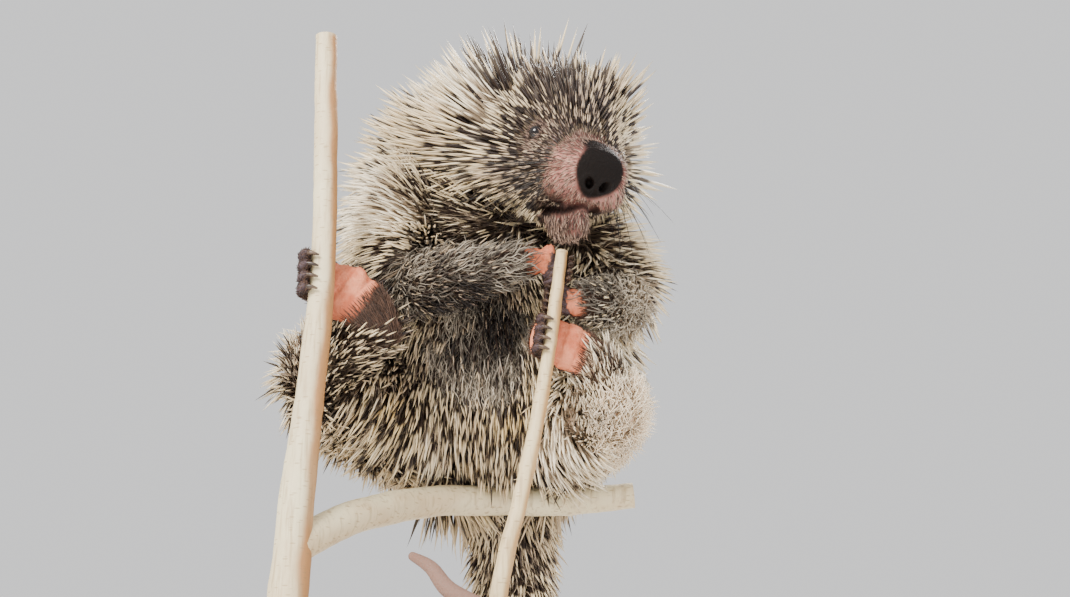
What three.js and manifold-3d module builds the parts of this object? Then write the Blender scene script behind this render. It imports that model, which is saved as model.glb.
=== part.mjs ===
// A prehensile-tailed porcupine as a still, life-size museum model: hunched upright behind two thin stems
// that its paws and feet grip, its rump on a side limb and its tail wound round the thinner stem, all on a
// plain display stand. Millimetres, +Z up. The animal faces -Y, its own left is +X, and the origin is the
// middle of the base's underside.

import * as THREE from 'three';
import { LoftGeometry } from 'three/addons/geometries/LoftGeometry.js';
import { mergeVertices } from 'three/addons/utils/BufferGeometryUtils.js';
import Module from 'manifold-3d';

const wasm = await Module();
wasm.setup();

// Driving dimensions

const GAP = 0.3; // between pieces that touch

const BASE = { width: 330, depth: 300, height: 18, corner: 26, chamfer: 3 };
const ROD = { radius: 6, collar: 10, collarHeight: 6, top: 92 };

// Each stem's places from its foot up, and the side limb's from the thick stem out: x, y, z and radius.
const THICK_STEM = [
	[ - 118.4, - 100, 86, 12 ], [ - 115, - 100, 190, 11.5 ], [ - 112, - 100, 262, 10.5 ],
	[ - 107, - 100, 323, 8.6 ], [ - 102.5, - 100, 392, 7.8 ], [ - 102.5, - 100, 450, 7.4 ],
	[ - 104, - 100, 500, 7.2 ], [ - 106, - 100, 562, 6.8 ],
];
const THIN_STEM = [
	[ - 12.6, - 112, 86, 5.6 ], [ 0, - 111, 165, 5.4 ], [ 9.8, - 109, 226, 5 ], [ 18.3, - 107, 261, 4.7 ],
	[ 27, - 104, 303, 4.4 ], [ 36, - 98, 358, 4.1 ], [ 39.8, - 94, 388, 3.9 ], [ 43.6, - 90.5, 420, 3.7 ],
];
const SEAT_LIMB = [
	[ - 112, - 99, 236, 10.6 ], [ - 82, - 62, 260, 10.2 ], [ - 40, - 4, 281, 10 ], [ 5, 24, 287, 9.6 ],
	[ 50, 30, 288, 9 ], [ 92, 30, 292, 8.4 ],
];

// The trunk from rump to withers and the neck: x, y, z, half width, reach of the back, reach of the belly.
const TRUNK = [
	[ 2, 38, 318, 46, 37, 40 ], [ 1, 33, 346, 72, 56, 62 ], [ - 4, 25, 392, 79, 67, 73 ],
	[ - 12, 24, 445, 75, 70, 70 ], [ - 16, 20, 495, 67, 62, 58 ], [ - 12, 8, 530, 50, 46, 40 ],
];
const TRUNK_CUTS = [ 366, 446 ]; // heights where rump, middle and shoulders part
const NECK = [ [ - 8, 8, 510, 50, 44, 46 ], [ 8, - 18, 512, 45, 42, 42 ], [ 28, - 46, 505, 36, 36, 36 ] ];

// The head in its own frame: the nose points to -y, z is up, and the middle of the skull is the origin.
const HEAD = { x: 42.2, y: - 75.2, z: 488.7, yaw: 22, pitch: 24, roll: 7 };
const SKULL = [
	[ 0, 38, 2, 24, 22, 24 ], [ 0, 20, 2, 32, 33, 31 ], [ 0, 0, 0, 35, 37, 34 ], [ 0, - 18, 0, 33, 34, 36 ],
	[ 0, - 34, - 2, 28, 25, 45 ], [ 0, - 46, - 4, 25, 19, 47 ], [ 0, - 57, - 5, 24.5, 19, 38 ],
	[ 0, - 67, - 6, 21, 16, 20 ],
];
const NOSE_ROUND = 0.45; // depth of the nose's domed front, as a share of its radius
const MUZZLE_CUT = - 38; // where the muzzle parts from the head, on the head's own y
const MOUTH = { corner: 17, z: - 25, drop: 8, gape: 1.6, depth: 4, lip: 2.3, places: 9 };
const NOSTRIL = { side: 6.5, y: - 74, z: - 9, radius: 3.2, depth: 9, splay: 18 };
const EYE = { side: 27.5, y: - 26, z: 9, radius: 5, turn: 62 };
const LID = { radius: 6.1, thick: 1.5, flat: 0.8, out: 1.2, back: 0.6 };
const EAR = { side: 31, y: 12, z: 15, wide: 9, tall: 12, deep: 7, wall: 2, turn: 28 };
const EAR_HOLLOW = { out: 3.4, forward: 3.6 };

// Limbs: the middle of each joint and the limb's radius there.
const RIGHT_LEG = [
	[ - 44, 20, 345, 42 ], [ - 79, - 8, 350, 35 ], [ - 104, - 36, 358, 26 ], [ - 92, - 60, 365, 19 ],
	[ - 70, - 80, 373, 12 ],
];
const LEFT_LEG = [
	[ 42, 20, 342, 42 ], [ 60, - 8, 337, 35 ], [ 68, - 38, 334, 26 ], [ 69, - 60, 342, 18 ],
	[ 63, - 77, 353, 11.5 ],
];
const RIGHT_ARM = [
	[ - 52, - 10, 470, 30 ], [ - 56, - 34, 440, 24 ], [ - 46, - 60, 410, 18 ], [ - 16, - 76, 411, 14.5 ],
	[ 18, - 84, 416, 9 ],
];
const LEFT_ARM = [
	[ 48, - 10, 452, 30 ], [ 68, - 26, 430, 23 ], [ 80, - 46, 402, 18 ], [ 72, - 66, 394, 14 ],
	[ 58, - 80, 391, 9 ],
];

// Feet and paws: the sole's places from heel to toes (x, y, z, half width, half thickness), its bulging
// inner pad (place and radii), the height of each toe on its stem, and how far the toes and claws reach
// round the stem, in degrees (0 is +X, 90 is behind, 180 is -X, 270 is in front).
const RIGHT_FOOT = {
	sole: [ [ - 64, - 80, 368, 9, 7.5 ], [ - 76, - 83, 384, 17, 7 ], [ - 92, - 84.5, 396, 19, 6.5 ],
		[ - 106, - 85, 402, 15, 6 ] ],
	pad: [ [ - 76, - 85, 403 ], [ 10, 6, 10 ] ], stem: THICK_STEM, toes: [ 413, 406, 399, 391.5 ],
	toeRadius: 3.9, clawRadius: 2.1, from: 118, to: 212, clawTo: 262,
};
const LEFT_FOOT = {
	sole: [ [ 68, - 73, 349, 9, 7.5 ], [ 58, - 79, 356, 15, 7 ], [ 44, - 84, 362, 16.5, 6.5 ],
		[ 29, - 87.5, 366, 13, 6 ] ],
	pad: [ [ 56, - 81, 369 ], [ 9, 6, 8 ] ], stem: THIN_STEM, toes: [ 374.5, 368, 361.5, 355 ],
	toeRadius: 3.5, clawRadius: 2, from: 112, to: 218, clawTo: 290,
};
const RIGHT_PAW = {
	sole: [ [ 12, - 82, 416, 8, 6 ], [ 25, - 82, 417, 9.5, 5.8 ], [ 37, - 81, 417, 8.5, 5 ] ],
	pad: [ [ 30, - 84, 419 ], [ 6, 4.5, 5 ] ], stem: THIN_STEM, toes: [ 417, 412.2, 407.4, 402.6 ],
	toeRadius: 2.4, clawRadius: 1.5, from: 120, to: 15, clawTo: - 50,
};
const LEFT_PAW = {
	sole: [ [ 62, - 78, 390, 8, 6 ], [ 53, - 81, 390, 9.5, 5.8 ], [ 44, - 83.5, 390, 8, 5 ] ],
	pad: [ [ 54, - 82, 394 ], [ 6, 4.5, 5 ] ], stem: THIN_STEM, toes: [ 397, 392.2, 387.4, 382.6 ],
	toeRadius: 2.4, clawRadius: 1.5, from: 60, to: 170, clawTo: 235,
};

// How the toes and claws thin, as shares of their radius, and how far a claw's point hangs below its toe.
const TOE = { taper: 0.12, clawTaper: 0.8, clawDrop: 2.5, places: 4 };

// The tail: from its root down behind the side limb and forwards under it, round the thin stem, and up.
const TAIL_ROOT = [
	[ 6, 46, 324, 27 ], [ 10, 67, 290, 23 ], [ 13, 73, 250, 19.5 ], [ 13, 58, 210, 17 ], [ 12, 18, 184, 15 ],
	[ 14, - 32, 171, 13 ], [ 17, - 78, 165, 10.5 ],
];
const TAIL_COIL = { start: 10, turns: 1.25, rise: 26, clear: 0.8, radius: 8.6, endRadius: 7, places: 11 };
const TAIL_TIP = [ [ - 20, - 124, 206, 5.8 ], [ - 32, - 114, 221, 4.8 ], [ - 44, - 100, 230, 3.4 ] ];
const TAIL_CUTS = [ 2, 4, 6, 17 ]; // sections where the tail's lengths part

// Spines: thickness, the share of the length where they are widest, and how deep the root is sunk. For each
// node that has them: the least distance from root to root, the length on the back, sides and belly, and the
// lean off the surface's normal.
const SPINE = { radius: 1.3, sides: 3, widest: 0.25, sink: 5.5, clear: 0.35, tries: 1400 };
const SPINES = {
	rump: { spacing: 20, reach: [ 42, 32, 16 ], lean: 50 },
	trunk_middle: { spacing: 20.5, reach: [ 50, 34, 14 ], lean: 50 },
	shoulders: { spacing: 19, reach: [ 50, 36, 15 ], lean: 45 },
	neck: { spacing: 15.5, reach: [ 52, 36, 14 ], lean: 37 },
	head: { spacing: 11.5, reach: [ 42, 36, 12 ], lean: 37 },
	right_thigh: { spacing: 19.5, reach: [ 25, 25, 25 ], lean: 55 },
	left_thigh: { spacing: 19.5, reach: [ 25, 25, 25 ], lean: 55 },
	right_shin: { spacing: 15.5, reach: [ 17, 17, 17 ], lean: 58 },
	left_shin: { spacing: 15.5, reach: [ 17, 17, 17 ], lean: 58 },
	right_upper_arm: { spacing: 15, reach: [ 28, 28, 28 ], lean: 52 },
	left_upper_arm: { spacing: 15, reach: [ 28, 28, 28 ], lean: 52 },
	right_forearm: { spacing: 15.5, reach: [ 14, 14, 14 ], lean: 62 },
	left_forearm: { spacing: 15.5, reach: [ 14, 14, 14 ], lean: 62 },
	tail_base: { spacing: 18, reach: [ 26, 24, 20 ], lean: 60 },
	tail_bend: { spacing: 20, reach: [ 18, 18, 16 ], lean: 62 },
	tail_middle: { spacing: 20, reach: [ 16, 16, 14 ], lean: 64 },
};
const FACE_BARE = { from: - 34, to: 6, least: 0.45 }; // how spines shorten to the muzzle, on the head's y
const EYE_CLEAR = 11; // no spine's root is nearer to an eye
const DOWNWARD = { low: 380, high: 500 }; // spines point down below these heights, off the nose above them
const SEED = 20;

// Small helpers

const FAR = 600; // past everything
const BIG_DOME = [ 32, 58, 80 ]; // turns, in degrees, of the rings that close a round end
const SMALL_DOME = [ 42, 74 ];
const X = new THREE.Vector3( 1, 0, 0 );
const Z = new THREE.Vector3( 0, 0, 1 );
const WAYS = [ [ 'right', - 1 ], [ 'left', 1 ] ];
const rad = THREE.MathUtils.degToRad;
const mix = THREE.MathUtils.lerp;
const ramp = THREE.MathUtils.smoothstep;
const vec = ( [ x, y, z ] ) => new THREE.Vector3( x, y, z );
const list = ( count, make ) => Array.from( { length: count }, ( _, i ) => make( i, i / ( count - 1 ) ) );

// Seeded draws, so that every run sets the same spines.
let drawState = SEED;
function draw( low, high ) {

	drawState = ( drawState * 1664525 + 1013904223 ) % 2 ** 32;
	return mix( low, high, drawState / 2 ** 32 );

}

// A closed geometry as a solid: shared corners merged, faces with no area dropped, turned to face outwards.
function solidOf( geometry ) {

	const bare = new THREE.BufferGeometry().setAttribute( 'position', geometry.getAttribute( 'position' ) );
	const merged = mergeVertices( bare.setIndex( geometry.index ), 1e-4 );
	const corners = merged.index.array;
	const faces = [];
	for ( let i = 0; i < corners.length; i += 3 ) {

		const [ a, b, c ] = corners.slice( i, i + 3 );
		if ( a !== b && b !== c && c !== a ) faces.push( a, b, c );

	}

	const vertProperties = merged.attributes.position.array;
	const build = ( order ) => new wasm.Manifold(
		new wasm.Mesh( { numProp: 3, vertProperties, triVerts: new Uint32Array( order ) } ) );
	const solid = build( faces );
	return solid.volume() > 0 ? solid : build( faces.reverse() );

}

// Solids joined two by two.
function joined( solids ) {

	if ( solids.length === 1 ) return solids[ 0 ];
	const half = Math.ceil( solids.length / 2 );
	return joined( solids.slice( 0, half ) ).add( joined( solids.slice( half ) ) );

}

// The largest closed surface of a solid.
const largest = ( solid ) => solid.decompose().reduce( ( a, b ) => ( a.volume() > b.volume() ? a : b ) );

// The value at t between b and c on a smooth curve through a, b, c and d.
const curve = ( a, b, c, d, t ) => 0.5 * (
	2 * b + ( c - a ) * t + ( 2 * a - 5 * b + 4 * c - d ) * t ** 2 + ( 3 * b - a - 3 * c + d ) * t ** 3 );

// A round form through sections of [ x, y, z, half width, reach up, reach down ], its ends flat or domed.
class Loft {

	constructor( sections, { side, sides = 18, steps = 2, round = [ 0.8, 0.8 ], domes = BIG_DOME, place } ) {

		Object.assign( this, { sides, steps, domes } );
		const full = sections.map( ( [ x, y, z, wide, up = wide, down = up ] ) => [ x, y, z, wide, up, down ] );
		const at = ( i, n ) => full[ THREE.MathUtils.clamp( i, 0, full.length - 1 ) ][ n ];
		const rows = list( ( full.length - 1 ) * steps + 1, ( row ) => {

			const i = Math.floor( row / steps );
			return full[ 0 ].map( ( _, n ) => curve( at( i - 1, n ), at( i, n ), at( i + 1, n ), at( i + 2, n ),
				row / steps - i ) );

		} );
		const middles = rows.map( ( row ) => ( place ? vec( row ).applyMatrix4( place ) : vec( row ) ) );
		let across = side;
		this.body = rows.map( ( [ , , , wide, up, down ], i ) => {

			const next = middles[ Math.min( i + 1, rows.length - 1 ) ];
			const along = next.clone().sub( middles[ Math.max( i - 1, 0 ) ] ).normalize();
			across = across.clone().addScaledVector( along, - across.dot( along ) ).normalize();
			const rise = along.clone().cross( across );
			return { middle: middles[ i ], lift: 0, along, across, rise, wide, up, down };

		} );
		this.frames = [ ...this.dome( this.body[ 0 ], - 1, round[ 0 ] ).reverse(), ...this.body,
			...this.dome( this.body.at( - 1 ), 1, round[ 1 ] ) ];

	}

	// The rings that close one end as a dome, from the body outwards; none where the end is flat.
	dome( frame, way, share ) {

		const deep = share * ( frame.wide + frame.up + frame.down ) / 3;
		return ( share ? this.domes : [] ).map( ( angle ) => {

			const [ lift, shrink ] = [ way * Math.sin( rad( angle ) ), Math.cos( rad( angle ) ) ];
			const middle = frame.middle.clone().addScaledVector( frame.along, deep * lift );
			const [ wide, up, down ] = [ frame.wide, frame.up, frame.down ].map( ( size ) => size * shrink );
			return { ...frame, middle, lift, wide, up, down };

		} );

	}

	// The point of a ring at an angle: 0 is across, and a quarter turn is up.
	static rim( frame, angle, grow = 0 ) {

		const sine = Math.sin( angle );
		return frame.middle.clone()
			.addScaledVector( frame.along, grow * frame.lift )
			.addScaledVector( frame.across, ( frame.wide + grow ) * Math.cos( angle ) )
			.addScaledVector( frame.rise, ( ( sine > 0 ? frame.up : frame.down ) + grow ) * sine );

	}

	// The closed form, grown all round by a distance.
	solid( grow = 0, frames = this.frames ) {

		const rings = frames.map( ( frame ) => Array.from( { length: this.sides },
			( _, i ) => Loft.rim( frame, 2 * Math.PI * i / this.sides, grow ) ) );
		return solidOf( new LoftGeometry( rings, { capStart: true, capEnd: true } ) );

	}

	// The length between two sections, or to an end where one is null, set back by half the gap at a cut.
	stretch( from, to ) {

		const row = ( section ) => this.frames.indexOf( this.body[ section * this.steps ] );
		const low = from === null ? 0 : row( from );
		const high = to === null ? this.frames.length - 1 : row( to );
		const part = this.frames.slice( low, high + 1 ).map( ( f ) => ( { ...f, middle: f.middle.clone() } ) );
		if ( from !== null ) part[ 0 ].middle.addScaledVector( part[ 0 ].along, GAP / 2 );
		if ( to !== null ) part.at( - 1 ).middle.addScaledVector( part.at( - 1 ).along, - GAP / 2 );
		return this.solid( 0, part );

	}

	// A place on the surface, at a share of the run from start to end and an angle round it.
	spot( share, angle ) {

		const row = share * ( this.frames.length - 1.001 );
		const [ near, far ] = [ this.frames[ Math.floor( row ) ], this.frames[ Math.floor( row ) + 1 ] ];
		const [ a, b ] = [ Loft.rim( near, angle ), Loft.rim( far, angle ) ];
		const along = b.clone().sub( a ).normalize();
		const around = Loft.rim( near, angle + 0.05 ).sub( Loft.rim( near, angle - 0.05 ) );
		const normal = around.cross( along ).normalize();
		const point = a.lerp( b, row % 1 );
		if ( normal.dot( point.clone().sub( near.middle ) ) < 0 ) normal.negate();
		return { point, normal, along, back: Math.sin( angle ) };

	}

}

// A solid ball with three radii.
function ball( at, radii, sides ) {

	const rings = Math.round( sides * 0.7 );
	return new THREE.SphereGeometry( 1, sides, rings ).scale( ...radii ).translate( ...at );

}

// A block between two corners.
function block( low, high ) {

	const size = low.map( ( v, i ) => high[ i ] - v );
	return new THREE.BoxGeometry( ...size ).translate( ...low.map( ( v, i ) => v + size[ i ] / 2 ) );

}

// Each node's solid and finish, in the order they are made.
const cores = new Map();
const FINISHES = {
	wood: [ 0x8c6a45, 0.55 ], steel: [ 0x9a9da1, 0.35 ], bark: [ 0xc9b48d, 0.85 ], coat: [ 0x6b6052, 0.8 ],
	nose: [ 0x7a5550, 0.7 ], sole: [ 0xd98c7c, 0.6 ], bare_tail: [ 0x9c7468, 0.7 ], eye: [ 0x1a100c, 0.15 ],
};

// Stand and perch

function standBase() {

	const { width, depth, height, corner, chamfer } = BASE;
	const [ w, d ] = [ width / 2 - chamfer - corner, depth / 2 - chamfer - corner ];
	const outline = new THREE.Shape();
	[ [ 1, 1 ], [ - 1, 1 ], [ - 1, - 1 ], [ 1, - 1 ] ].forEach( ( [ x, y ], i ) =>
		outline.absarc( x * w, y * d, corner, rad( 90 * i ), rad( 90 * i + 90 ) ) );
	const slab = new THREE.ExtrudeGeometry( outline, { depth: height - 2 * chamfer, curveSegments: 4,
		bevelThickness: chamfer, bevelSize: chamfer, bevelSegments: 1 } );
	return solidOf( slab.translate( 0, 0, chamfer ) );

}

function standRod( [ x, y ] ) {

	const { radius, collar, collarHeight, top } = ROD;
	const foot = BASE.height + GAP;
	const shoulder = foot + collarHeight;
	const profile = [ [ 0, foot ], [ collar, foot ], [ collar, shoulder ], [ radius, shoulder ],
		[ radius, top ], [ 0, top ] ].map( ( p ) => new THREE.Vector2( ...p ) );
	return solidOf( new THREE.LatheGeometry( profile, 14 ).rotateX( Math.PI / 2 ).translate( x, y, 0 ) );

}

const thickStem = new Loft( THICK_STEM, { side: X, sides: 12, steps: 1, round: [ 0, 0 ] } );
const thinStem = new Loft( THIN_STEM, { side: X, sides: 10, steps: 1, round: [ 0, 0 ] } );
const seatLimb = new Loft( SEAT_LIMB, { side: Z, sides: 10, steps: 2, round: [ 0, 0 ] } );
const aboveRods = solidOf( block( [ - FAR, - FAR, ROD.top + GAP ], [ FAR, FAR, 2 * FAR ] ) );

cores.set( 'stand_base', [ standBase(), 'wood' ] );
cores.set( 'stand_rod_thick', [ standRod( THICK_STEM[ 0 ] ), 'steel' ] );
cores.set( 'stand_rod_thin', [ standRod( THIN_STEM[ 0 ] ), 'steel' ] );
cores.set( 'perch_thick_stem', [ thickStem.solid().intersect( aboveRods ), 'bark' ] );
cores.set( 'perch_thin_stem', [ thinStem.solid().intersect( aboveRods ), 'bark' ] );
cores.set( 'perch_seat_limb', [ largest( seatLimb.solid().subtract( thickStem.solid( GAP ) ) ), 'bark' ] );

// Trunk and neck. Whatever is made later is cut back from the room that each of these keeps round itself.

const trunk = new Loft( TRUNK, { side: X, round: [ 0.55, 0.62 ] } );
const neck = new Loft( NECK, { side: X, sides: 14, round: [ 0.5, 0.5 ] } );
const rooms = [ thickStem, thinStem, seatLimb ].map( ( loft ) => loft.solid( GAP ) );

const trunkCore = trunk.solid().subtract( joined( rooms ) );
[ 'rump', 'trunk_middle', 'shoulders' ].forEach( ( name, i ) => {

	const low = i === 0 ? 0 : TRUNK_CUTS[ i - 1 ] + GAP / 2;
	const high = i === 2 ? 2 * FAR : TRUNK_CUTS[ i ] - GAP / 2;
	const slice = solidOf( block( [ - FAR, - FAR, low ], [ FAR, FAR, high ] ) );
	cores.set( name, [ largest( trunkCore.intersect( slice ) ), 'coat' ] );

} );
rooms.push( trunk.solid( GAP ) );
cores.set( 'neck', [ largest( neck.solid().subtract( joined( rooms ) ) ), 'coat' ] );
rooms.push( neck.solid( GAP ) );

// Head: the skull and the muzzle, parted behind the nose, with eyes, lids, ears, nostrils, mouth and lips

const headFrame = new THREE.Matrix4().makeTranslation( HEAD.x, HEAD.y, HEAD.z )
	.multiply( new THREE.Matrix4().makeRotationZ( rad( HEAD.yaw ) ) )
	.multiply( new THREE.Matrix4().makeRotationX( rad( HEAD.pitch ) ) )
	.multiply( new THREE.Matrix4().makeRotationY( rad( HEAD.roll ) ) );
const headInverse = headFrame.clone().invert();
const inHead = ( shape ) => solidOf( shape.applyMatrix4( headFrame ) );
const headSide = X.clone().transformDirection( headFrame );
const skull = new Loft( SKULL,
	{ side: headSide, sides: 16, round: [ 0.6, NOSE_ROUND ], place: headFrame } );
const eyeMiddle = ( way ) => [ way * EYE.side, EYE.y, EYE.z ];
const eyeBall = ( way, grow = 0 ) =>
	inHead( ball( eyeMiddle( way ), Array( 3 ).fill( EYE.radius + grow ), 9 ) );

function lids( way ) {

	const ring = new THREE.TorusGeometry( LID.radius, LID.thick, 4, 9 ).scale( 1, LID.flat, 1 );
	ring.rotateY( way * rad( EYE.turn ) );
	return inHead( ring.translate( way * ( EYE.side + LID.out ), EYE.y - LID.back, EYE.z ) );

}

function nostril( way ) {

	const { side, y, z, radius, depth, splay } = NOSTRIL;
	const hole = ball( [ 0, 0, 0 ], [ radius, depth, radius * 1.2 ], 8 ).rotateZ( way * rad( splay ) );
	return inHead( hole.translate( way * side, y, z ) );

}

// How far forward the muzzle's surface lies at a place across and up, on the head's own axes.
function surfaceY( x, z ) {

	const [ tip, before ] = [ SKULL.at( - 1 ), SKULL.at( - 2 ) ];
	const domeDeep = NOSE_ROUND * ( tip[ 3 ] + tip[ 4 ] + tip[ 5 ] ) / 3;
	let [ outside, inside ] = [ tip[ 1 ] - domeDeep, MUZZLE_CUT ];
	while ( inside - outside > 0.05 ) {

		const y = ( inside + outside ) / 2;
		const i = Math.max( 1, SKULL.findIndex( ( s ) => s[ 1 ] <= y ) );
		const [ a, b ] = y < tip[ 1 ] ? [ before, tip ] : [ SKULL[ i - 1 ], SKULL[ i ] ];
		const t = Math.min( 1, ( y - a[ 1 ] ) / ( b[ 1 ] - a[ 1 ] ) );
		const shrink = y < tip[ 1 ] ? Math.sqrt( 1 - ( ( tip[ 1 ] - y ) / domeDeep ) ** 2 ) : 1;
		const [ middle, wide, down ] = [ 2, 3, 5 ].map( ( n ) => mix( a[ n ], b[ n ], t ) );
		const far = ( x / ( wide * shrink ) ) ** 2 + ( ( z - middle ) / ( down * shrink ) ) ** 2;
		if ( far > 1 ) outside = y;
		else inside = y;

	}

	return inside;

}

// The line between the lips from corner to corner, lowest at the corners.
const mouthLine = list( MOUTH.places, ( i, t ) => {

	const x = mix( - MOUTH.corner, MOUTH.corner, t );
	const z = MOUTH.z - MOUTH.drop * ( 2 * t - 1 ) ** 2;
	return [ x, surfaceY( x, z ), z ];

} );

function mouthSlit() {

	const rings = mouthLine.map( ( [ x, y, z ], i ) => {

		const [ a, b ] = [ mouthLine[ Math.max( i - 1, 0 ) ], mouthLine[ Math.min( i + 1, MOUTH.places - 1 ) ] ];
		const out = new THREE.Vector3( b[ 1 ] - a[ 1 ], a[ 0 ] - b[ 0 ], 0 ).normalize();
		return [ [ - 1, - 1 ], [ - 1, 1 ], [ 1, 1 ], [ 1, - 1 ] ].map( ( [ far, up ] ) =>
			new THREE.Vector3( x, y, z + up * MOUTH.gape / 2 ).addScaledVector( out, far * MOUTH.depth ) );

	} );
	return inHead( new LoftGeometry( rings, { capStart: true, capEnd: true } ) );

}

const lips = () => new Loft( mouthLine.map( ( p ) => [ ...p, MOUTH.lip ] ),
	{ side: Z, sides: 5, steps: 1, round: [ 0.8, 0.8 ], domes: SMALL_DOME, place: headFrame } ).solid();

function earCup( way ) {

	const { side, y, z, wide, tall, deep, wall, turn } = EAR;
	const cup = ball( [ 0, 0, 0 ], [ deep, wide, tall ], 9 );
	const middle = [ way * EAR_HOLLOW.out, - EAR_HOLLOW.forward, 0 ];
	const inside = ball( middle, [ deep, wide - wall, tall - wall ], 7 );
	const [ outer, inner ] = [ cup, inside ].map( ( part ) =>
		inHead( part.rotateZ( way * rad( turn ) ).translate( way * side, y, z ) ) );
	return outer.subtract( inner );

}

const wholeHead = skull.solid().subtract( joined( rooms ) );
const skullSide = inHead( block( [ - FAR, MUZZLE_CUT + GAP / 2, - FAR ], [ FAR, FAR, FAR ] ) );
const muzzleSide = inHead( block( [ - FAR, - FAR, - FAR ], [ FAR, MUZZLE_CUT - GAP / 2, FAR ] ) );
const eyeRooms = WAYS.map( ( [ , way ] ) => eyeBall( way, GAP ) );
const withLids = joined( [ wholeHead, ...WAYS.map( ( [ , way ] ) => lids( way ) ) ] );
const headCore = withLids.intersect( skullSide ).subtract( joined( eyeRooms ) );
cores.set( 'head', [ largest( headCore ), 'coat' ] );
const muzzleCore = wholeHead.add( lips() ).intersect( muzzleSide ).subtract( rooms[ 1 ] );
const muzzleHoles = joined( [ mouthSlit(), nostril( - 1 ), nostril( 1 ) ] );
cores.set( 'muzzle', [ largest( muzzleCore.subtract( muzzleHoles ) ), 'nose' ] );
WAYS.forEach( ( [ name, way ] ) => {

	const ear = earCup( way ).subtract( skull.solid( GAP ) ).subtract( rooms.at( - 1 ) );
	cores.set( `${ name }_eye`, [ eyeBall( way ), 'eye' ] );
	cores.set( `${ name }_ear`, [ largest( ear ), 'coat' ] );

} );
rooms.push( skull.solid( GAP ) );

// The form whose surface each node's spines grow from.
const lofts = { rump: trunk, trunk_middle: trunk, shoulders: trunk, neck, head: skull };

// Limbs: each length is cut back from all that was made before it.


function addLimb( names, joints ) {

	[ joints.slice( 0, 3 ), joints.slice( 2 ) ].forEach( ( part, i ) => {

		const loft = new Loft( part, { side: Z, sides: 10, round: [ 0.7, 0.6 ], domes: SMALL_DOME } );
		lofts[ names[ i ] ] = loft;
		cores.set( names[ i ], [ largest( loft.solid().subtract( joined( rooms ) ) ), 'coat' ] );
		rooms.push( loft.solid( GAP ) );

	} );

}

addLimb( [ 'right_thigh', 'right_shin' ], RIGHT_LEG );
addLimb( [ 'left_thigh', 'left_shin' ], LEFT_LEG );
addLimb( [ 'right_upper_arm', 'right_forearm' ], RIGHT_ARM );
addLimb( [ 'left_upper_arm', 'left_forearm' ], LEFT_ARM );

// The middle and radius of a stem at a height.
function stemAt( stem, z ) {

	const i = Math.max( 1, stem.findIndex( ( s ) => s[ 2 ] >= z ) );
	const t = ( z - stem[ i - 1 ][ 2 ] ) / ( stem[ i ][ 2 ] - stem[ i - 1 ][ 2 ] );
	return stem[ i ].map( ( v, n ) => mix( stem[ i - 1 ][ n ], v, t ) );

}

// One toe from inside the sole round the stem, ending in its claw, which thins to a point.
function toe( foot, height, root ) {

	const { toeRadius, clawRadius, from, to, clawTo } = foot;
	const [ x, y, , stemRadius ] = stemAt( foot.stem, height );
	const around = ( angle, radius, off = 0, drop = 0 ) => {

		const out = stemRadius + radius + off + 2 * GAP;
		return [ x + Math.cos( rad( angle ) ) * out, y + Math.sin( rad( angle ) ) * out, height - drop, radius ];

	};

	const fleshy = list( TOE.places, ( i, t ) =>
		around( mix( from, to, t ), toeRadius * ( 1 - TOE.taper * t ) ) );
	const claw = list( TOE.places, ( i, t ) => around( mix( to, clawTo, mix( TOE.taper, 1, t ) ),
		clawRadius * ( 1 - TOE.clawTaper * t ), ( toeRadius - clawRadius ) * ( 1 - t ) + t,
		TOE.clawDrop * t ** 2 ) );
	const shape = { side: Z, sides: 5, steps: 1, round: [ 0, 0 ] };
	return new Loft( [ [ ...root, height, toeRadius ], ...fleshy, ...claw ], shape ).solid();

}

function footSolid( foot ) {

	const shape = { side: Z, sides: 10, steps: 1, round: [ 0.8, 0.6 ], domes: SMALL_DOME };
	const sole = new Loft( foot.sole, shape );
	const [ before, end ] = foot.sole.slice( - 2 );
	const root = [ mix( end[ 0 ], before[ 0 ], 0.3 ), end[ 1 ] ];
	const toes = foot.toes.map( ( z ) => toe( foot, z, root ) );
	return joined( [ sole.solid(), solidOf( ball( ...foot.pad, 8 ) ), ...toes ] );

}

Object.entries( { right_foot: RIGHT_FOOT, left_foot: LEFT_FOOT, right_paw: RIGHT_PAW, left_paw: LEFT_PAW } )
	.forEach( ( [ name, foot ] ) =>
		cores.set( name, [ largest( footSolid( foot ).subtract( joined( rooms ) ) ), 'sole' ] ) );

// Tail

function tailSections() {

	const { start, turns, rise, clear, radius, endRadius, places } = TAIL_COIL;
	const coil = list( places, ( i, t ) => {

		const z = TAIL_ROOT.at( - 1 )[ 2 ] + rise * t + 1;
		const [ x, y, , stemRadius ] = stemAt( THIN_STEM, z );
		const thick = mix( radius, endRadius, t );
		const angle = rad( start - 360 * turns * t );
		const out = stemRadius + thick + clear;
		return [ x + out * Math.cos( angle ), y + out * Math.sin( angle ), z, thick ];

	} );
	return [ ...TAIL_ROOT, ...coil, ...TAIL_TIP ];

}

const tail = new Loft( tailSections(), { side: X, sides: 9, round: [ 0.5, 0.9 ], domes: SMALL_DOME } );
const tailStops = [ null, ...TAIL_CUTS, null ];
[ 'tail_base', 'tail_bend', 'tail_middle', 'tail_coil', 'tail_tip' ].forEach( ( name, i ) => {

	const whole = tail.stretch( tailStops[ i ], tailStops[ i + 1 ] );
	const solid = i === 0 ? largest( whole.subtract( joined( rooms ) ) ) : whole;
	cores.set( name, [ solid, i < 3 ? 'coat' : 'bare_tail' ] );
	lofts[ name ] = tail;

} );

// Spines

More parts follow.
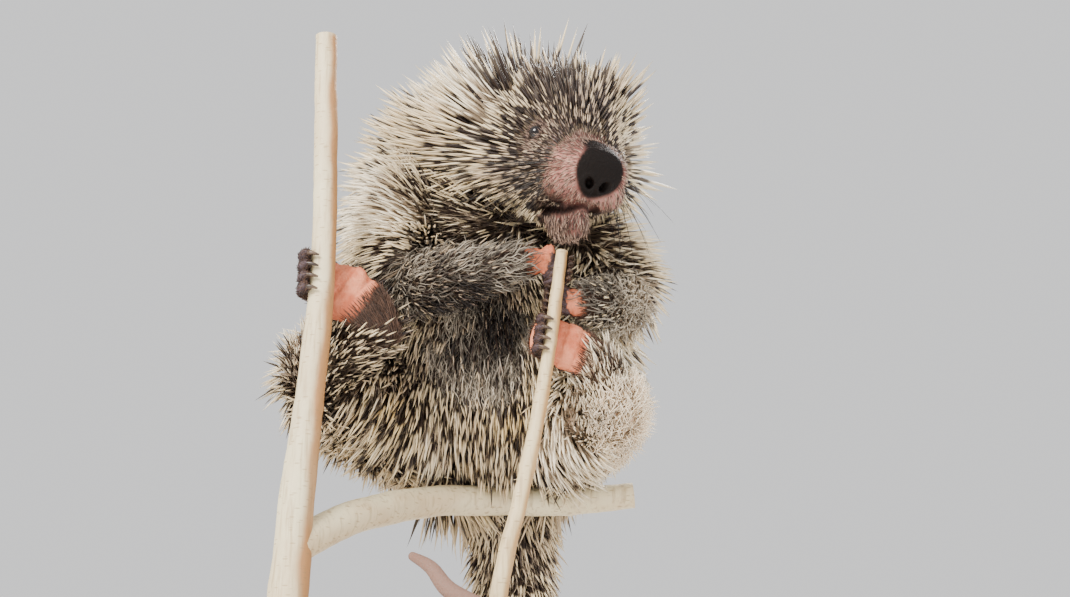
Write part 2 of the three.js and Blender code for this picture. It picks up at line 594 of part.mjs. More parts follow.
function spineSolid( root, direction, reach, grow = 0 ) {

	const { radius, sides, widest, sink } = SPINE;
	const [ low, thick, tip ] = [ - sink - 3 * grow, radius + 2 * grow, reach + 3 * grow ];
	const profile = [ [ 0, low ], [ thick, reach * widest ], [ 0, tip ] ];
	const shape = new THREE.LatheGeometry( profile.map( ( p ) => new THREE.Vector2( ...p ) ), sides );
	const turn = new THREE.Quaternion().setFromUnitVectors( new THREE.Vector3( 0, 1, 0 ), direction );
	return solidOf( shape.applyQuaternion( turn ).translate( root.x, root.y, root.z ) );

}

// The box round a solid.
function boxOf( solid ) {

	const points = new THREE.BufferAttribute( new Float32Array( solid.getMesh().vertProperties ), 3 );
	return new THREE.Box3().setFromBufferAttribute( points );

}

const boxes = new Map( [ ...cores ].map( ( [ name, [ solid ] ] ) => [ name, boxOf( solid ) ] ) );
const noseTip = vec( [ 0, SKULL.at( - 1 )[ 1 ], SKULL.at( - 1 )[ 2 ] ] ).applyMatrix4( headFrame );
const eyes = WAYS.map( ( [ , way ] ) => vec( eyeMiddle( way ) ).applyMatrix4( headFrame ) );
const placed = [];

// Which way the spines lie at a place: down over the rump, away from the nose over the shoulders and head,
// and along the limbs and the tail.
function lieAt( name, { point, along } ) {

	if ( ! [ 'rump', 'trunk_middle', 'shoulders', 'neck', 'head' ].includes( name ) ) return along.clone();
	const away = point.clone().sub( noseTip ).normalize();
	return away.lerp( new THREE.Vector3( 0, 0, - 1 ), 1 - ramp( point.z, DOWNWARD.low, DOWNWARD.high ) );

}

function reachAt( name, { point, back } ) {

	const [ top, flank, under ] = SPINES[ name ].reach;
	const full = back > 0 ? mix( flank, top, back ) : mix( flank, under, - back );
	if ( name !== 'head' ) return full;
	const y = point.clone().applyMatrix4( headInverse ).y;
	return y < FACE_BARE.from ? 0 : full * mix( FACE_BARE.least, 1, ramp( y, FACE_BARE.from, FACE_BARE.to ) );

}

// Whether a spine keeps clear of every other node and of the spines that stand already.
function standsClear( name, root, tip, direction, reach ) {

	const line = new THREE.Line3( root, tip );
	const near = ( other ) => [ 0, 0.25, 0.5, 0.75, 1 ].some( ( t ) => {

		const point = line.at( t, new THREE.Vector3() );
		const gap = point.distanceTo( other.closestPointToPoint( point, true, new THREE.Vector3() ) );
		return gap < 3 * SPINE.radius;

	} );
	if ( placed.some( near ) ) return false;
	const grown = spineSolid( root, direction, reach, SPINE.clear );
	const box = boxOf( grown );
	return [ ...cores ].every( ( [ other, [ solid ] ] ) =>
		other === name || ! box.intersectsBox( boxes.get( other ) ) || grown.intersect( solid ).isEmpty() );

}

function spinesOf( name ) {

	const { spacing, lean } = SPINES[ name ];
	const own = [];
	for ( let i = 0; i < SPINE.tries; i ++ ) {

		const spot = lofts[ name ].spot( draw( 0, 1 ), draw( 0, 2 * Math.PI ) );
		const vary = draw( 0.85, 1.1 );
		const full = reachAt( name, spot ) * vary;
		const root = spot.point;
		if ( ! full || ! boxes.get( name ).clone().expandByScalar( 2 ).containsPoint( root ) ) continue;
		if ( own.some( ( o ) => o.root.distanceTo( root ) < spacing ) ) continue;
		if ( eyes.some( ( eye ) => eye.distanceTo( root ) < EYE_CLEAR ) ) continue;
		const lie = lieAt( name, spot );
		lie.addScaledVector( spot.normal, - lie.dot( spot.normal ) ).normalize();
		for ( const [ leanShare, reachShare ] of [ [ 1, 1 ], [ 0.6, 1 ], [ 0.8, 0.65 ] ] ) {

			const angle = rad( lean * leanShare );
			const reach = full * reachShare;
			const direction = spot.normal.clone().multiplyScalar( Math.cos( angle ) )
				.addScaledVector( lie, Math.sin( angle ) ).normalize();
			const tip = root.clone().addScaledVector( direction, reach );
			if ( ! standsClear( name, root, tip, direction, reach ) ) continue;
			own.push( { root, direction, reach } );
			placed.push( new THREE.Line3( root, tip ) );
			break;

		}

	}

	return own.map( ( { root, direction, reach } ) => spineSolid( root, direction, reach ) );

}

for ( const name of Object.keys( SPINES ) ) {

	const [ core, finish ] = cores.get( name );
	cores.set( name, [ largest( joined( [ core, ...spinesOf( name ) ] ) ), finish ] );

}

// Every solid becomes a named mesh of its own.

const group = new THREE.Group();
for ( const [ name, [ solid, finish ] ] of cores ) {

	const { vertProperties, triVerts } = solid.getMesh();
	const geometry = new THREE.BufferGeometry()
		.setAttribute( 'position', new THREE.BufferAttribute( new Float32Array( vertProperties ), 3 ) )
		.setIndex( new THREE.BufferAttribute( new Uint32Array( triVerts ), 1 ) );
	const [ color, roughness ] = FINISHES[ finish ];
	const node = new THREE.Mesh( geometry, new THREE.MeshStandardMaterial( { color, roughness } ) );
	node.name = name;
	group.add( node );

}

export default group;
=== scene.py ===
"""A prehensile-tailed porcupine as a still, life-size museum model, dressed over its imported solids.

The animal sits hunched behind two thin stems that its paws and feet grip, on a plain display stand. One skin
replaces the flesh, and quills, underfur, bristles and whiskers of solid mesh grow from it. Lengths in the
sections below are millimetres, as in the solids; everything in Blender is metres. The animal faces -Y and its
own left is +X.
"""

from __future__ import annotations

import logging
import math
from collections.abc import Callable, Sequence
from dataclasses import dataclass, field, fields
from enum import Enum

import bmesh
import bpy
import numpy as np
from bpy.types import Material, Mesh, Node, NodeSocket, NodeTree, Object
from mathutils import Matrix, Vector
from mathutils.bvhtree import BVHTree

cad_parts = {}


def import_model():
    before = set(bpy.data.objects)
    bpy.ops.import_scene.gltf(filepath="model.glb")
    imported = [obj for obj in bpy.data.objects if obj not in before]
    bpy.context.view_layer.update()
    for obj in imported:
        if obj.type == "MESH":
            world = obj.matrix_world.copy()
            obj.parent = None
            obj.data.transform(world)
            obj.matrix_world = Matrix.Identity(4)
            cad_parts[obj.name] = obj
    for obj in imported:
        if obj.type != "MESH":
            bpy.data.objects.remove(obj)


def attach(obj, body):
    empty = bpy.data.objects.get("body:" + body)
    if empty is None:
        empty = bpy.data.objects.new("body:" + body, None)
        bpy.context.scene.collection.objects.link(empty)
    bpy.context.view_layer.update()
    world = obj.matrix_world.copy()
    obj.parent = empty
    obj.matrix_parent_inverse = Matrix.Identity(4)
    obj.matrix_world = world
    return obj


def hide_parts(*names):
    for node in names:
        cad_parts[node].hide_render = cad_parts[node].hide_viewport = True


MM = 0.001
SEED = 20
BODY = "root"
BAKE_MAP = "OFBake"
DOME_RINGS = (18, 36, 54, 70, 83)
VIEW_FROM = (27.0, -1093.7, 63.6)
VIEW_TILT = 18.0
VIEW_DEPTH = 1043.7

log = logging.getLogger("porcupine")

Array = np.ndarray
Row = tuple[float, ...]
Colour = tuple[float, float, float]
Sockets = dict[str | int, object]


class Side(Enum):
    """The animal's own sides, by the sign of x on its head."""

    RIGHT = -1
    LEFT = 1


class Part(Enum):
    """The parts of the body that the coat treats in their own way."""

    TRUNK = 0
    NECK = 1
    HEAD = 2
    THIGH = 3
    SHIN = 4
    UPPER_ARM = 5
    FOREARM = 6
    SOLE = 7
    DIGIT = 8
    TAIL = 9


def smooth(value: Array, low: float, high: float) -> Array:
    """Ramp smoothly from 0 at low to 1 at high, also where high is the smaller."""
    t = np.clip((value - low) / (high - low), 0.0, 1.0)
    return t * t * (3.0 - 2.0 * t)


def unit(vectors: Array) -> Array:
    """Scale vectors to length one."""
    return vectors / np.maximum(np.linalg.norm(vectors, axis=-1, keepdims=True), 1e-9)


def span(vectors: Array) -> Array:
    """Give the lengths of vectors."""
    return np.linalg.norm(vectors, axis=-1)


def lay_flat(vectors: Array, normal: Array) -> Array:
    """Turn vectors into the plane across their normals, at length one."""
    return unit(vectors - (vectors * normal).sum(1, keepdims=True) * normal)


def linear(red: int, green: int, blue: int) -> Colour:
    """Turn a screen colour of 0 to 255 into scene-linear values."""
    return tuple(
        c / 12.92 if c <= 0.04045 else ((c + 0.055) / 1.055) ** 2.4
        for c in (red / 255.0, green / 255.0, blue / 255.0)
    )


def mottle(points: Array, size: float, seed: int) -> Array:
    """Give a soft random value near -1 to 1 at each point, with patches of about the given size.

    Args:
        points: Places in metres, one a row.
        size: Width of a patch in metres.
        seed: Which pattern.

    Returns:
        One value a point.
    """
    rng = np.random.RandomState(seed)
    total = np.zeros(len(points))
    for _ in range(6):
        wave = unit(rng.normal(size=3)) * rng.uniform(0.7, 1.5) * math.pi / size
        total += np.sin(points @ wave + rng.uniform(0.0, 6.28))
    return total / 2.4


# Scene tools


def deselect() -> None:
    """Clear the selection, in object mode."""
    if bpy.context.object and bpy.context.object.mode != "OBJECT":
        bpy.ops.object.mode_set(mode="OBJECT")
    bpy.ops.object.select_all(action="DESELECT")


def pick(*objects: Object) -> Object:
    """Select objects, the first of them active, and return it."""
    deselect()
    for obj in objects:
        obj.select_set(True)
    bpy.context.view_layer.objects.active = objects[0]
    return objects[0]


def named(name: str) -> Object:
    """Name the object that an operator has just added, and return it."""
    obj = bpy.context.object
    obj.name = name
    obj.data.name = name
    return obj


def settle(obj: Object) -> Object:
    """Put an object's place, turn and scale into its mesh."""
    pick(obj)
    bpy.ops.object.transform_apply(location=True, rotation=True, scale=True)
    return obj


def join(name: str, pieces: Sequence[Object]) -> Object:
    """Join objects into one with the given name."""
    pick(*pieces)
    if len(pieces) > 1:
        bpy.ops.object.join()
    return named(name)


def modify(obj: Object, kind: str, **settings: object) -> None:
    """Add a modifier with its settings and apply it."""
    pick(obj)
    modifier = obj.modifiers.new(kind.title(), kind)
    for key, value in settings.items():
        setattr(modifier, key, value)
    bpy.ops.object.modifier_apply(modifier=modifier.name)


def shade(obj: Object, angle: float | None = None) -> None:
    """Shade an object smooth, all over or only where its faces meet at less than an angle in degrees."""
    pick(obj)
    if angle is None:
        bpy.ops.object.shade_smooth()
    else:
        bpy.ops.object.shade_smooth_by_angle(angle=math.radians(angle))


def ball(name: str, segments: int, rings: int, radius: float = 1.0) -> Object:
    """Add a ball at the origin, its radius in metres."""
    deselect()
    bpy.ops.mesh.primitive_uv_sphere_add(segments=segments, ring_count=rings, radius=radius)
    return named(name)


def hand_over(obj: Object, materials: Sequence[Material], slot: str, *nodes: str,
              angle: float | None = None) -> None:
    """Dress a finished piece, hide the solids that it replaces and report it.

    Args:
        obj: The piece.
        materials: Its materials.
        slot: Not used.
        *nodes: The solids that it replaces.
        angle: Only faces that meet at less than this many degrees are shaded smooth, or all if None.
    """
    for material in materials:
        obj.data.materials.append(material)
    shade(obj, angle)
    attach(obj, BODY)
    if nodes:
        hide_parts(*nodes)
    log.info("%s: %d faces", obj.name, len(obj.data.polygons))


def rows_of(collection: bpy.types.bpy_prop_collection, name: str) -> Array:
    """Read one vector from each item of a mesh's collection."""
    values = np.empty(len(collection) * 3, np.float32)
    collection.foreach_get(name, values)
    return values.reshape(-1, 3).astype(float)


def points_of(obj: Object) -> Array:
    """Read an object's vertices."""
    return rows_of(obj.data.vertices, "co")


def normals_of(obj: Object) -> Array:
    """Read the normals at an object's vertices."""
    return rows_of(obj.data.vertex_normals, "vector")


def move_points(obj: Object, points: Array) -> None:
    """Write an object's vertices."""
    obj.data.vertices.foreach_set("co", points.astype(np.float32).ravel())
    obj.data.update()


def write_value(obj: Object, name: str, values: Array) -> None:
    """Store one number a vertex as a named attribute."""
    layer = obj.data.attributes.get(name) or obj.data.attributes.new(name, "FLOAT", "POINT")
    layer.data.foreach_set("value", values.astype(np.float32))


def wrap(name: str, rings: Array) -> Object:
    """Wrap a flat grid round rings of points, merge its seam and close its ends.

    Args:
        name: The new object's name.
        rings: Points in metres, by ring, place in the ring and axis.

    Returns:
        The closed form.
    """
    count, sides, _ = rings.shape
    deselect()
    bpy.ops.mesh.primitive_grid_add(x_subdivisions=sides, y_subdivisions=count - 1, size=1.0)
    obj = named(name)
    move_points(obj, np.concatenate([rings, rings[:, :1]], axis=1).reshape(-1, 3))
    bpy.ops.object.mode_set(mode="EDIT")
    bpy.ops.mesh.select_all(action="SELECT")
    bpy.ops.mesh.remove_doubles(threshold=1e-6)
    bpy.ops.mesh.select_all(action="SELECT")
    bpy.ops.mesh.fill_holes(sides=0)
    bpy.ops.mesh.select_all(action="SELECT")
    bpy.ops.mesh.normals_make_consistent(inside=False)
    bpy.ops.object.mode_set(mode="OBJECT")
    return obj


# The round forms that the body, the stems and the tail are made of


@dataclass
class Loft:
    """A round form through sections, its ends flat or domed, as in the solids.

    Args:
        sections: Rows of x, y, z, half width, and if they differ reach up and reach down, in millimetres.
        side: The direction of the half width at the first section.
        steps: Rings from one section to the next.
        domes: Depth of each domed end as a share of its radius, 0 for a flat end.
        place: Where the sections' own axes lie, if not in the row frame.
    """

    sections: Sequence[Row]
    side: Row = (1.0, 0.0, 0.0)
    steps: int = 4
    domes: tuple[float, float] = (0.7, 0.7)
    place: Matrix | None = None
    middle: Array = field(init=False)
    axes: Array = field(init=False)
    reach: Array = field(init=False)
    lift: Array = field(init=False)

    def __post_init__(self) -> None:
        """Work out the rings: middles, axes (along, across, rise) and reaches (wide, up, down)."""
        rows = np.array([[*r, *([r[-1]] * (6 - len(r)))] for r in self.sections], float)
        ends = np.vstack([rows[:1], rows, rows[-1:], rows[-1:]])
        fine = []
        for i in range((len(rows) - 1) * self.steps + 1):
            k, t = divmod(i, self.steps)
            a, b, c, d = ends[k], ends[k + 1], ends[k + 2], ends[min(k + 3, len(ends) - 1)]
            t /= self.steps
            fine.append(0.5 * (2 * b + (c - a) * t + (2 * a - 5 * b + 4 * c - d) * t**2
                               + (3 * b - a - 3 * c + d) * t**3))
        fine = np.array(fine)
        middle, reach = fine[:, :3] * MM, fine[:, 3:] * MM
        across = np.array(self.side, float)
        if self.place:
            middle = to_world(self.place, middle)
        axes = []
        for i in range(len(middle)):
            along = unit(middle[min(i + 1, len(middle) - 1)] - middle[max(i - 1, 0)])
            across = unit(across - across.dot(along) * along)
            axes.append([along, across, np.cross(along, across)])
        axes = np.array(axes)
        lift = np.zeros(len(middle))
        for end, way in ((0, -1), (-1, 1)):
            share = self.domes[end]
            if not share:
                continue
            deep = share * reach[end].mean()
            turns = np.radians(DOME_RINGS)[::way]
            cap = middle[end] + axes[end, 0] * deep * way * np.sin(turns)[:, None]
            block = (cap, np.repeat(axes[end][None], len(turns), 0), reach[end] * np.cos(turns)[:, None],
                     way * np.sin(turns))
            middle, axes, reach, lift = (
                np.concatenate([new, old] if end == 0 else [old, new])
                for new, old in zip(block, (middle, axes, reach, lift))
            )
        self.middle, self.axes, self.reach, self.lift = middle, axes, reach, lift

    def rings(self, sides: int, grow: float = 0.0) -> Array:
        """Give the points round every ring, grown all round by a distance in metres."""
        angle = np.arange(sides) * 2 * math.pi / sides
        cos, sin = np.cos(angle), np.sin(angle)
        wide = np.maximum(self.reach[:, :1] + grow, 1e-5)
        tall = np.maximum(np.where(sin > 0, self.reach[:, 1:2], self.reach[:, 2:3]) + grow, 1e-5)
        middle = self.middle + self.axes[:, 0] * (self.lift * grow)[:, None]
        return (middle[:, None] + self.axes[:, 1][:, None] * (wide * cos)[..., None]
                + self.axes[:, 2][:, None] * (tall * sin)[..., None])

    def form(self, name: str, sides: int, grow: float = 0.0) -> Object:
        """Make the closed form, grown by a distance in metres."""
        return wrap(name, self.rings(sides, grow))

    def locate(self, points: Array) -> tuple[Array, Array, Array, Array]:
        """Find where points lie on the form.

        Args:
            points: Places in metres, one a row.

        Returns:
            For each point its share of the way along, its angle round, its height above the surface in
            metres, and the form's direction there.
        """
        body = np.flatnonzero(self.lift == 0.0)
        middle = self.middle[body]
        gap = ((points[:, None] - middle[None]) ** 2).sum(-1)
        low = gap.argmin(1)
        axes, reach = self.axes[body][low], self.reach[body][low]
        offset = points - middle[low]
        along = np.einsum("ij,ij->i", offset, axes[:, 0])
        u = np.einsum("ij,ij->i", offset, axes[:, 1])
        v = np.einsum("ij,ij->i", offset, axes[:, 2])
        angle = np.arctan2(v, u)
        tall = np.where(v > 0, reach[:, 1], reach[:, 2])
        radius = 1.0 / np.sqrt((np.cos(angle) / reach[:, 0]) ** 2 + (np.sin(angle) / tall) ** 2)
        flat = np.hypot(u, v) / radius
        past = np.where((low == 0) & (along < 0) | (low == len(body) - 1) & (along > 0), along, 0.0)
        deep = np.where(low == 0, self.domes[0], self.domes[1]) * reach.mean(1) + 1e-6
        scale = np.where(past != 0, np.minimum(deep, radius), radius)
        height = (np.sqrt(flat**2 + (past / deep) ** 2) - 1.0) * scale
        step = np.linalg.norm(middle[min(1, len(body) - 1)] - middle[0]) + 1e-9
        share = np.clip((low + np.clip(along / step, -0.5, 0.5)) / max(len(body) - 1, 1), 0.0, 1.0)
        return share, angle, height, axes[:, 0]


def to_world(place: Matrix, points: Array) -> Array:
    """Take points from a frame's own axes to the row frame, in metres."""
    turn = np.array(place.to_3x3())
    return points @ turn.T + np.array(place.translation)


# Anatomy: the same named sections as the solids


@dataclass(frozen=True)
class Form:
    """One round form of the body: its part, its loft and how far the skin lies inside the solid."""

    part: Part
    loft: Loft
    inset: float = 0.0
    sides: int = 24


@dataclass
class Spots:
    """Places in metres, the skin's normals there if known, and where they lie on the nearest form.

    Each has one row a place: the form's index and its part's number, the share along it, the angle round it,
    the height over its surface in metres and its direction.
    """

    point: Array
    normal: Array | None
    form: Array
    part: Array
    share: Array
    angle: Array
    height: Array
    along: Array

    def keep(self, rows: Array) -> Spots:
        """Keep only some rows."""
        return Spots(*(getattr(self, item.name)[rows] for item in fields(self)))

    def on(self, *parts: Part) -> Array:
        """Say which places are on any of some parts."""
        return np.isin(self.part, [part.value for part in parts])

    def __len__(self) -> int:
        """Count the places."""
        return len(self.point)


@dataclass
class HeadPlan:
    """Where the head is, and what is on it, in millimetres on its own axes: the nose to -y, z up."""

    at: Row = (42.2, -75.2, 488.7)
    yaw: float = 22.0
    pitch: float = 24.0
    roll: float = 7.0
    skull: tuple[Row, ...] = (
        (0, 38, 2, 24, 22, 24), (0, 20, 2, 32, 33, 31), (0, 0, 0, 35, 37, 34), (0, -18, 0, 33, 34, 36),
        (0, -34, -2, 28, 25, 45), (0, -46, -4, 25, 19, 47), (0, -57, -5, 24.5, 19, 38),
        (0, -67, -6, 21, 16, 20),
    )
    domes: tuple[float, float] = (0.6, 0.45)
    eye: Row = (27.5, -26.0, 9.0)
    nostril: Row = (5.0, -73.5, -13.0)
    mouth_corner: float = 22.0
    mouth_z: float = -25.5
    mouth_drop: float = 23.0
    ear: Row = (31.0, 12.0, 15.0)
    place: Matrix = field(init=False)

    def __post_init__(self) -> None:
        """Work out the head's frame."""
        turn = (Matrix.Rotation(math.radians(self.yaw), 4, "Z")
                @ Matrix.Rotation(math.radians(self.pitch), 4, "X")
                @ Matrix.Rotation(math.radians(self.roll), 4, "Y"))
        self.place = Matrix.Translation(Vector(self.at) * MM) @ turn

    def sided(self, place: Row, side: Side) -> Array:
        """Give a place of the head's left half on one side."""
        return np.array(place) * (side.value, 1, 1)

    @property
    def turned(self) -> Array:
        """Give the head's axes, one a column."""
        return np.array(self.place.to_3x3())

    def world(self, *point: float) -> Vector:
        """Take a place in millimetres on the head's axes to the row frame."""
        return self.place @ (Vector(point) * MM)

    def local(self, points: Array) -> Array:
        """Take places in the row frame to millimetres on the head's axes."""
        return (points - np.array(self.place.translation)) @ self.turned / MM


@dataclass(frozen=True)
class FootPlan:
    """A foot or paw: its sole from heel to toes, its pad, and its toes round a stem, in millimetres."""

    sole: tuple[Row, ...]
    pad: tuple[Row, Row]
    toes: Row
    toe_radius: float
    claw_radius: float
    start: float
    end: float
    claw_end: float


@dataclass
class BodyPlan:
    """The whole animal and the stems it holds, section by section, in millimetres."""

    head: HeadPlan = field(default_factory=HeadPlan)
    trunk: tuple[Row, ...] = (
        (2, 38, 318, 46, 37, 40), (1, 33, 346, 72, 56, 62), (-4, 25, 392, 79, 67, 73),
        (-12, 24, 445, 75, 70, 70),
        (-16, 20, 495, 67, 62, 58), (-12, 8, 530, 50, 46, 40),
    )
    neck: tuple[Row, ...] = ((-8, 8, 510, 50, 44, 46), (8, -18, 512, 45, 42, 42), (28, -46, 505, 36, 36, 36))
    right_leg: tuple[Row, ...] = (
        (-44, 20, 345, 42), (-79, -8, 350, 35), (-104, -36, 358, 26), (-92, -60, 365, 19),
        (-70, -80, 373, 12),
    )
    left_leg: tuple[Row, ...] = (
        (42, 20, 342, 42), (60, -8, 337, 35), (68, -38, 334, 26), (69, -60, 342, 18), (63, -77, 353, 11.5),
    )
    right_arm: tuple[Row, ...] = (
        (-52, -10, 470, 30), (-56, -34, 440, 24), (-46, -60, 410, 18), (-16, -76, 411, 14.5),
        (18, -84, 416, 9),
    )
    left_arm: tuple[Row, ...] = (
        (48, -10, 452, 30), (68, -26, 430, 23), (80, -46, 402, 18), (72, -66, 394, 14), (58, -80, 391, 9),
    )
    right_foot: FootPlan = FootPlan(
        sole=((-64, -80, 368, 9, 7.5), (-76, -83, 384, 17, 7), (-92, -84.5, 396, 19, 6.5),
              (-106, -85, 402, 15, 6)),
        pad=((-84, -85, 403), (8.5, 6, 9.5)), toes=(413, 406, 399, 391.5), toe_radius=3.9, claw_radius=2.1,
        start=118, end=222, claw_end=278)
    left_foot: FootPlan = FootPlan(
        sole=((68, -73, 349, 9, 7.5), (58, -79, 356, 15, 7), (44, -84, 362, 16.5, 6.5),
              (29, -87.5, 366, 13, 6)),
        pad=((48, -83, 368), (7.5, 5.5, 7)), toes=(374.5, 368, 361.5, 355), toe_radius=3.5, claw_radius=2.0,
        start=112, end=218, claw_end=290)
    right_paw: FootPlan = FootPlan(
        sole=((12, -82, 416, 8, 6), (25, -82, 417, 9.5, 5.8), (37, -81, 417, 8.5, 5)),
        pad=((34, -85, 420), (6.2, 5, 7.6)), toes=(417, 412.2, 407.4, 402.6), toe_radius=2.4, claw_radius=1.5,
        start=120, end=15, claw_end=-50)
    left_paw: FootPlan = FootPlan(
        sole=((62, -78, 390, 8, 6), (53, -81, 390, 9.5, 5.8), (44, -83.5, 390, 8, 5)),
        pad=((54, -82, 394), (6, 4.5, 5)), toes=(397, 392.2, 387.4, 382.6), toe_radius=2.4, claw_radius=1.5,
        start=60, end=170, claw_end=235)
    tail_root: tuple[Row, ...] = (
        (6, 46, 324, 27), (10, 67, 290, 23), (13, 73, 250, 19.5), (13, 58, 210, 17), (12, 18, 184, 15),
        (14, -32, 171, 13), (17, -78, 165, 10.5),
    )
    tail_end: tuple[Row, ...] = ((-20, -124, 206, 5.8), (-32, -114, 221, 4.8), (-44, -100, 230, 3.4))
    coil_turns: float = 1.25
    coil_rise: float = 26.0
    coil_thick: tuple[float, float] = (8.6, 7.0)
    thick_stem: tuple[Row, ...] = (
        (-118.4, -100, 92.4, 12), (-115, -100, 190, 11.5), (-112, -100, 262, 10.5), (-107, -100, 323, 8.6),
        (-102.5, -100, 392, 7.8), (-102.5, -100, 450, 7.4), (-104, -100, 500, 7.2), (-106, -100, 562, 6.8),
    )
    thin_stem: tuple[Row, ...] = (
        (-12.4, -112, 92.4, 5.6), (0, -111, 165, 5.4), (9.8, -109, 226, 5), (18.3, -107, 261, 4.7),
        (27, -104, 303, 4.4), (36, -98, 358, 4.1), (39.8, -94, 388, 3.9), (43.6, -90.5, 420, 3.7),
    )
    seat_limb: tuple[Row, ...] = (
        (-112, -99, 236, 10.6), (-82, -62, 260, 10.2), (-40, -4, 281, 10), (5, 24, 287, 9.6),
        (50, 30, 288, 9),
        (92, 30, 292, 8.4),
    )

    def stem_at(self, stem: Sequence[Row], z: float) -> Array:
        """Give a stem's middle and radius at a height."""
        rows = np.array(stem, float)
        return np.array([np.interp(z, rows[:, 2], rows[:, n]) for n in range(4)])

    def grips(self) -> list[tuple[FootPlan, tuple[Row, ...]]]:
        """Pair each foot with the stem that it holds."""
        feet = (self.right_foot, self.left_foot, self.right_paw, self.left_paw)
        return list(zip(feet, (self.thick_stem, self.thin_stem, self.thin_stem, self.thin_stem)))

    def coil(self, places: int = 21) -> list[Row]:
        """Give the tail's places round the thin stem."""
        rows = []
        for t in np.linspace(0.0, 1.0, places):
            z = self.tail_root[-1][2] + self.coil_rise * t + 1.0
            x, y, _, stem = self.stem_at(self.thin_stem, z)
            thick = np.interp(t, (0, 1), self.coil_thick)
            angle = math.radians(10 - 360 * self.coil_turns * t)
            out = stem + thick + 0.8
            rows.append((x + out * math.cos(angle), y + out * math.sin(angle), z, thick))
        return rows

    def tail(self) -> Loft:
        """Give the whole tail from root to tip."""
        rows = [*self.tail_root, *self.coil()[::2], *self.tail_end]
        return Loft(rows, steps=5, domes=(0.5, 0.9))

    def toe(self, foot: FootPlan, stem: Sequence[Row], height: float) -> tuple[Loft, Loft]:
        """Give one toe round its stem, and its claw."""
        x, y, _, thick = self.stem_at(stem, height)
        before, end = foot.sole[-2], foot.sole[-1]

        def around(angle: float, radius: float, off: float = 0.0, drop: float = 0.0) -> Row:
            """Give a place beside the stem at an angle round it."""
            out = thick + radius + off + 0.6
            turn = math.radians(angle)
            return (x + math.cos(turn) * out, y + math.sin(turn) * out, height - drop, radius)

        root = (end[0] + 0.3 * (before[0] - end[0]), end[1], height, foot.toe_radius)
        flesh = [around(foot.start + (foot.end - foot.start) * t, foot.toe_radius * (1 - 0.12 * t))
                 for t in np.linspace(0.0, 1.0, 4)]
        claw = [
            around(foot.end + (foot.claw_end - foot.end) * (t - 0.12), foot.claw_radius * (1 - 0.86 * t),
                   (foot.toe_radius - foot.claw_radius) * (1 - t) + t, 2.5 * t * t)
            for t in np.linspace(0.0, 1.1, 5)[:4]
        ]
        up = (0.0, 0.0, 1.0)
        return Loft([root, *flesh], side=up, domes=(0.5, 0.8)), Loft(claw, side=up, domes=(0.4, 0.9))


class Anatomy:
    """All the round forms of the body, and the claws, worked out from the plan."""

    LIMB_DOMES = (0.7, 0.6)
    COAT_INSET = 4.0
    LIMB_INSET = 2.5
    REACH = 0.03

    def __init__(self, plan: BodyPlan) -> None:
        """Work out every form.

        Args:
            plan: The sections of the whole animal.
        """
        self.plan = plan
        self.claws: list[Loft] = []
        head = plan.head
        side = to_world(head.place, np.array([[1.0, 0, 0]]))[0] - np.array(head.place.translation)
        self.forms = [
            Form(Part.TRUNK, Loft(plan.trunk, domes=(0.55, 0.62)), self.COAT_INSET, 48),
            Form(Part.NECK, Loft(plan.neck, domes=(0.5, 0.5)), self.COAT_INSET, 40),
            Form(Part.HEAD, Loft(head.skull, tuple(side), 5, head.domes, head.place), 0.6, 48),
        ]
        up = (0.0, 0.0, 1.0)
        for joints, upper, lower in (
            (plan.right_leg, Part.THIGH, Part.SHIN), (plan.left_leg, Part.THIGH, Part.SHIN),
            (plan.right_arm, Part.UPPER_ARM, Part.FOREARM), (plan.left_arm, Part.UPPER_ARM, Part.FOREARM),
        ):
            self.forms.append(Form(upper, Loft(joints[:3], up, domes=self.LIMB_DOMES), self.LIMB_INSET, 28))
            self.forms.append(Form(lower, Loft(joints[2:], up, domes=self.LIMB_DOMES), 1.6, 24))
        for foot, stem in plan.grips():
            self.forms.append(Form(Part.SOLE, Loft(foot.sole, side=up, domes=(0.8, 0.6)), 0.2, 24))
            for height in foot.toes:
                toe, claw = plan.toe(foot, stem, height)
                self.forms.append(Form(Part.DIGIT, toe, 0.15, 14))
                self.claws.append(claw)
        self.forms.append(Form(Part.TAIL, plan.tail(), 0.6, 28))
        self.stems = [Loft(rows, steps=6, domes=(0.0, 0.0)) for rows in (plan.thick_stem, plan.thin_stem)]
        self.stems.append(Loft(plan.seat_limb, side=up, steps=6, domes=(0.0, 0.0)))

    def survey(self, points: Array, normal: Array | None = None) -> Spots:
        """Find the nearest form for each point.

        Args:
            points: Places in metres, one a row.
            normal: The skin's normals there, where they are wanted.

        Returns:
            The places with their forms.
        """
        count = len(points)
        blank = [np.zeros(count, kind) for kind in (int, int, float, float)]
        spots = Spots(points, normal, *blank, np.full(count, 9.0), np.zeros((count, 3)))
        for index, form in enumerate(self.forms):
            margin = form.loft.reach.max() + self.REACH
            low, high = form.loft.middle.min(0) - margin, form.loft.middle.max(0) + margin
            near = np.flatnonzero(((points > low) & (points < high)).all(1))
            if not len(near):
                continue
            share, angle, height, along = form.loft.locate(points[near])
            height = height + form.inset * MM
            closer = height < spots.height[near]
            rows = near[closer]
            spots.form[rows], spots.part[rows] = index, form.part.value
            spots.share[rows], spots.angle[rows] = share[closer], angle[closer]
            spots.height[rows], spots.along[rows] = height[closer], along[closer]
        return spots

    def clearance(self, points: Array) -> Array:
        """Give the height of points over the nearest stem, in metres."""
        heights = [stem.locate(points)[2] for stem in self.stems]
        return np.min(heights, axis=0)


# Skin


